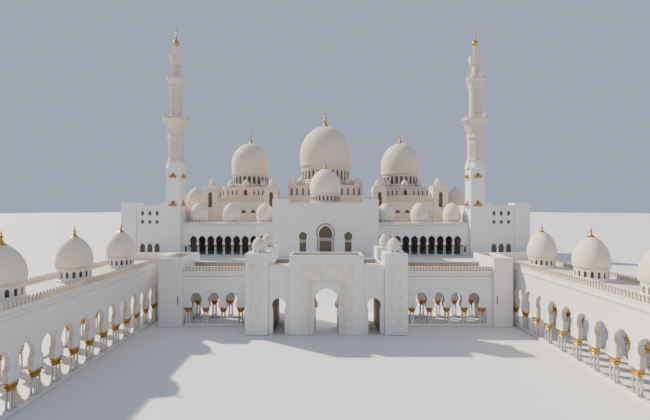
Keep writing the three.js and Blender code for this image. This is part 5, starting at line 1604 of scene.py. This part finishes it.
def makeTurrets(side):
    y0, base = hall["y"][0], hall["roofTop"]
    shells, gold, dark = [], [], []
    for name in ("inner", "outer"):
        sizes = turrets[name]
        x, half, top = sizes["x"], sizes["half"], sizes["top"]
        centre = (x, y0 + half)
        spanX, spanY = (x - half, x + half), (y0, y0 + 2 * half)
        proud = turrets["proud"]
        shapes = [turretBody(centre, half, base, top, turrets["shoulder"][name]),
                  corniceRing(spanX, spanY, top - 2.7, top - 2.0, 0.2, 0.12),
                  boxShape(spanX, (y0 - proud, y0 - 0.01), (turrets["pilasterFoot"], top - 2.8), 0.05)]
        niche = plainArch(*turrets["niche"])
        high = plainArch(turrets["niche"][0], base + 0.4, turrets["niche"][2])
        sides = (("x", y0 - proud, 1, x), ("x", spanY[1], -1, x), ("y", spanX[0], 1, centre[1]),
                 ("y", spanX[1], -1, centre[1]))
        for axis, face, inward, along in sides:
            outline = niche if face < y0 and axis == "x" else high
            shapes.append(onWall(frameBand(outline, 0.3, 0.05, 0.12), axis, face, inward, along))
            dark.append(onWall(paneShape(outline, (-0.04, 0.05)), axis, face, inward, along))
        cap = turrets["cap"]
        lift = turrets["lift"] if turrets["shoulder"][name] else 0
        lifted = {key: turrets["dome"][key] + lift for key in ("foot", "widest", "apex")}
        dome = {**turrets["dome"], **lifted, "radius": cap, "drum": cap * turrets["drumShare"],
                "tip": sizes["tip"]}
        dome = domeParts(dome, centre, top, 32, 12, 8)
        shapes += dome["walls"]
        shells += dome["shell"]
        gold += dome["gold"]
        makeHalf(f"turretStone_{name}", side, shapes, "warm", [f"{name}_turret_{side}"])
    makeHalf("turretCaps", side, shells + gold, "smallDome")
    makeHalf("turretWindows", side, dark, "window")


sideHall = {"inner": 65.003, "outer": 84, "y": (183, 235), "top": 21, "domeX": 75, "domeY": 200,
            "windows": 18, "rows": ((1.3, 6, 12), (0.9, 15, 17.6)), "endX": (68.5, 80.5),
            "sideY": (188, 230),
            "dome": {"radius": 5.3, "drum": 4.4, "foot": 2.4, "widest": 5.6, "apex": 13, "tip": 14.9,
                     "point": 0.2, "wall": 0.4, "windowZ": (0.7, 1.8), "windowHalf": 0.36, "cap": 0.8}}


def makeSideHall(side):
    sizes = sideHall
    x, y, top = (sizes["inner"], sizes["outer"]), sizes["y"], sizes["top"]
    shapes = [boxShape(x, y, (0, top - 0.1)), corniceRing(x, y, top - 1.4, top, 0.4, 0.2)]
    panes = []
    for window in sizes["rows"]:
        along, across = np.linspace(*sizes["sideY"], 9), np.linspace(*sizes["endX"], 4)
        for axis, face, places in (("y", x[1], along), ("x", y[1], across)):
            frames, glass = wallWindows(places, *window)
            shapes.append(onWall(frames, axis, face, -1))
            panes.append(onWall(glass, axis, face, -1))
    dome = domeParts(sizes["dome"], (sizes["domeX"], sizes["domeY"]), top, 64, 18, sizes["windows"])
    makeHalf("sideHallStone", side, shapes + dome["walls"], "warm", ["side_hall_" + side])
    makeHalf("sideHallDome", side, dome["shell"], "dome")
    makeHalf("sideHallWindows", side, panes + dome["panes"], "window")
    makeHalf("sideHallGold", side, dome["gold"], "gold")


def makePrayerHall():
    makePortal()
    makeHall()
    makeTier("main_dome", tierSizes["main"])
    makeTier("left_dome", tierSizes["side"])
    makeTier("right_dome", tierSizes["side"])
    for side in ("left", "right"):
        makeGallery(side)
        makeWing(side)
        makeMinaret(side)
        makeTurrets(side)
        makeSideHall(side)
    print("prayer hall ready")


makePrayerHall()

floorSizes = {"half": 200, "front": -60, "back": 340, "drop": 0.004, "colour": (0.80, 0.79, 0.77)}


def makeFloor():
    half, front, back = floorSizes["half"], floorSizes["front"], floorSizes["back"]
    floor = bpy.data.meshes.new("paleFloor")
    floor.from_pydata([(-half, front, 0), (half, front, 0), (half, back, 0), (-half, back, 0)], [],
                      [(0, 1, 2, 3)])
    floor.materials.append(newMaterial("paleFloor", floorSizes["colour"], 0.55)[0])
    ground = bpy.data.objects.new("paleFloor", floor)
    ground.location = (0, 0, -floorSizes["drop"])
    bpy.context.collection.objects.link(ground)


makeFloor()
print(pieceCount["pieces"], "pieces,", pieceCount["triangles"], "triangles")
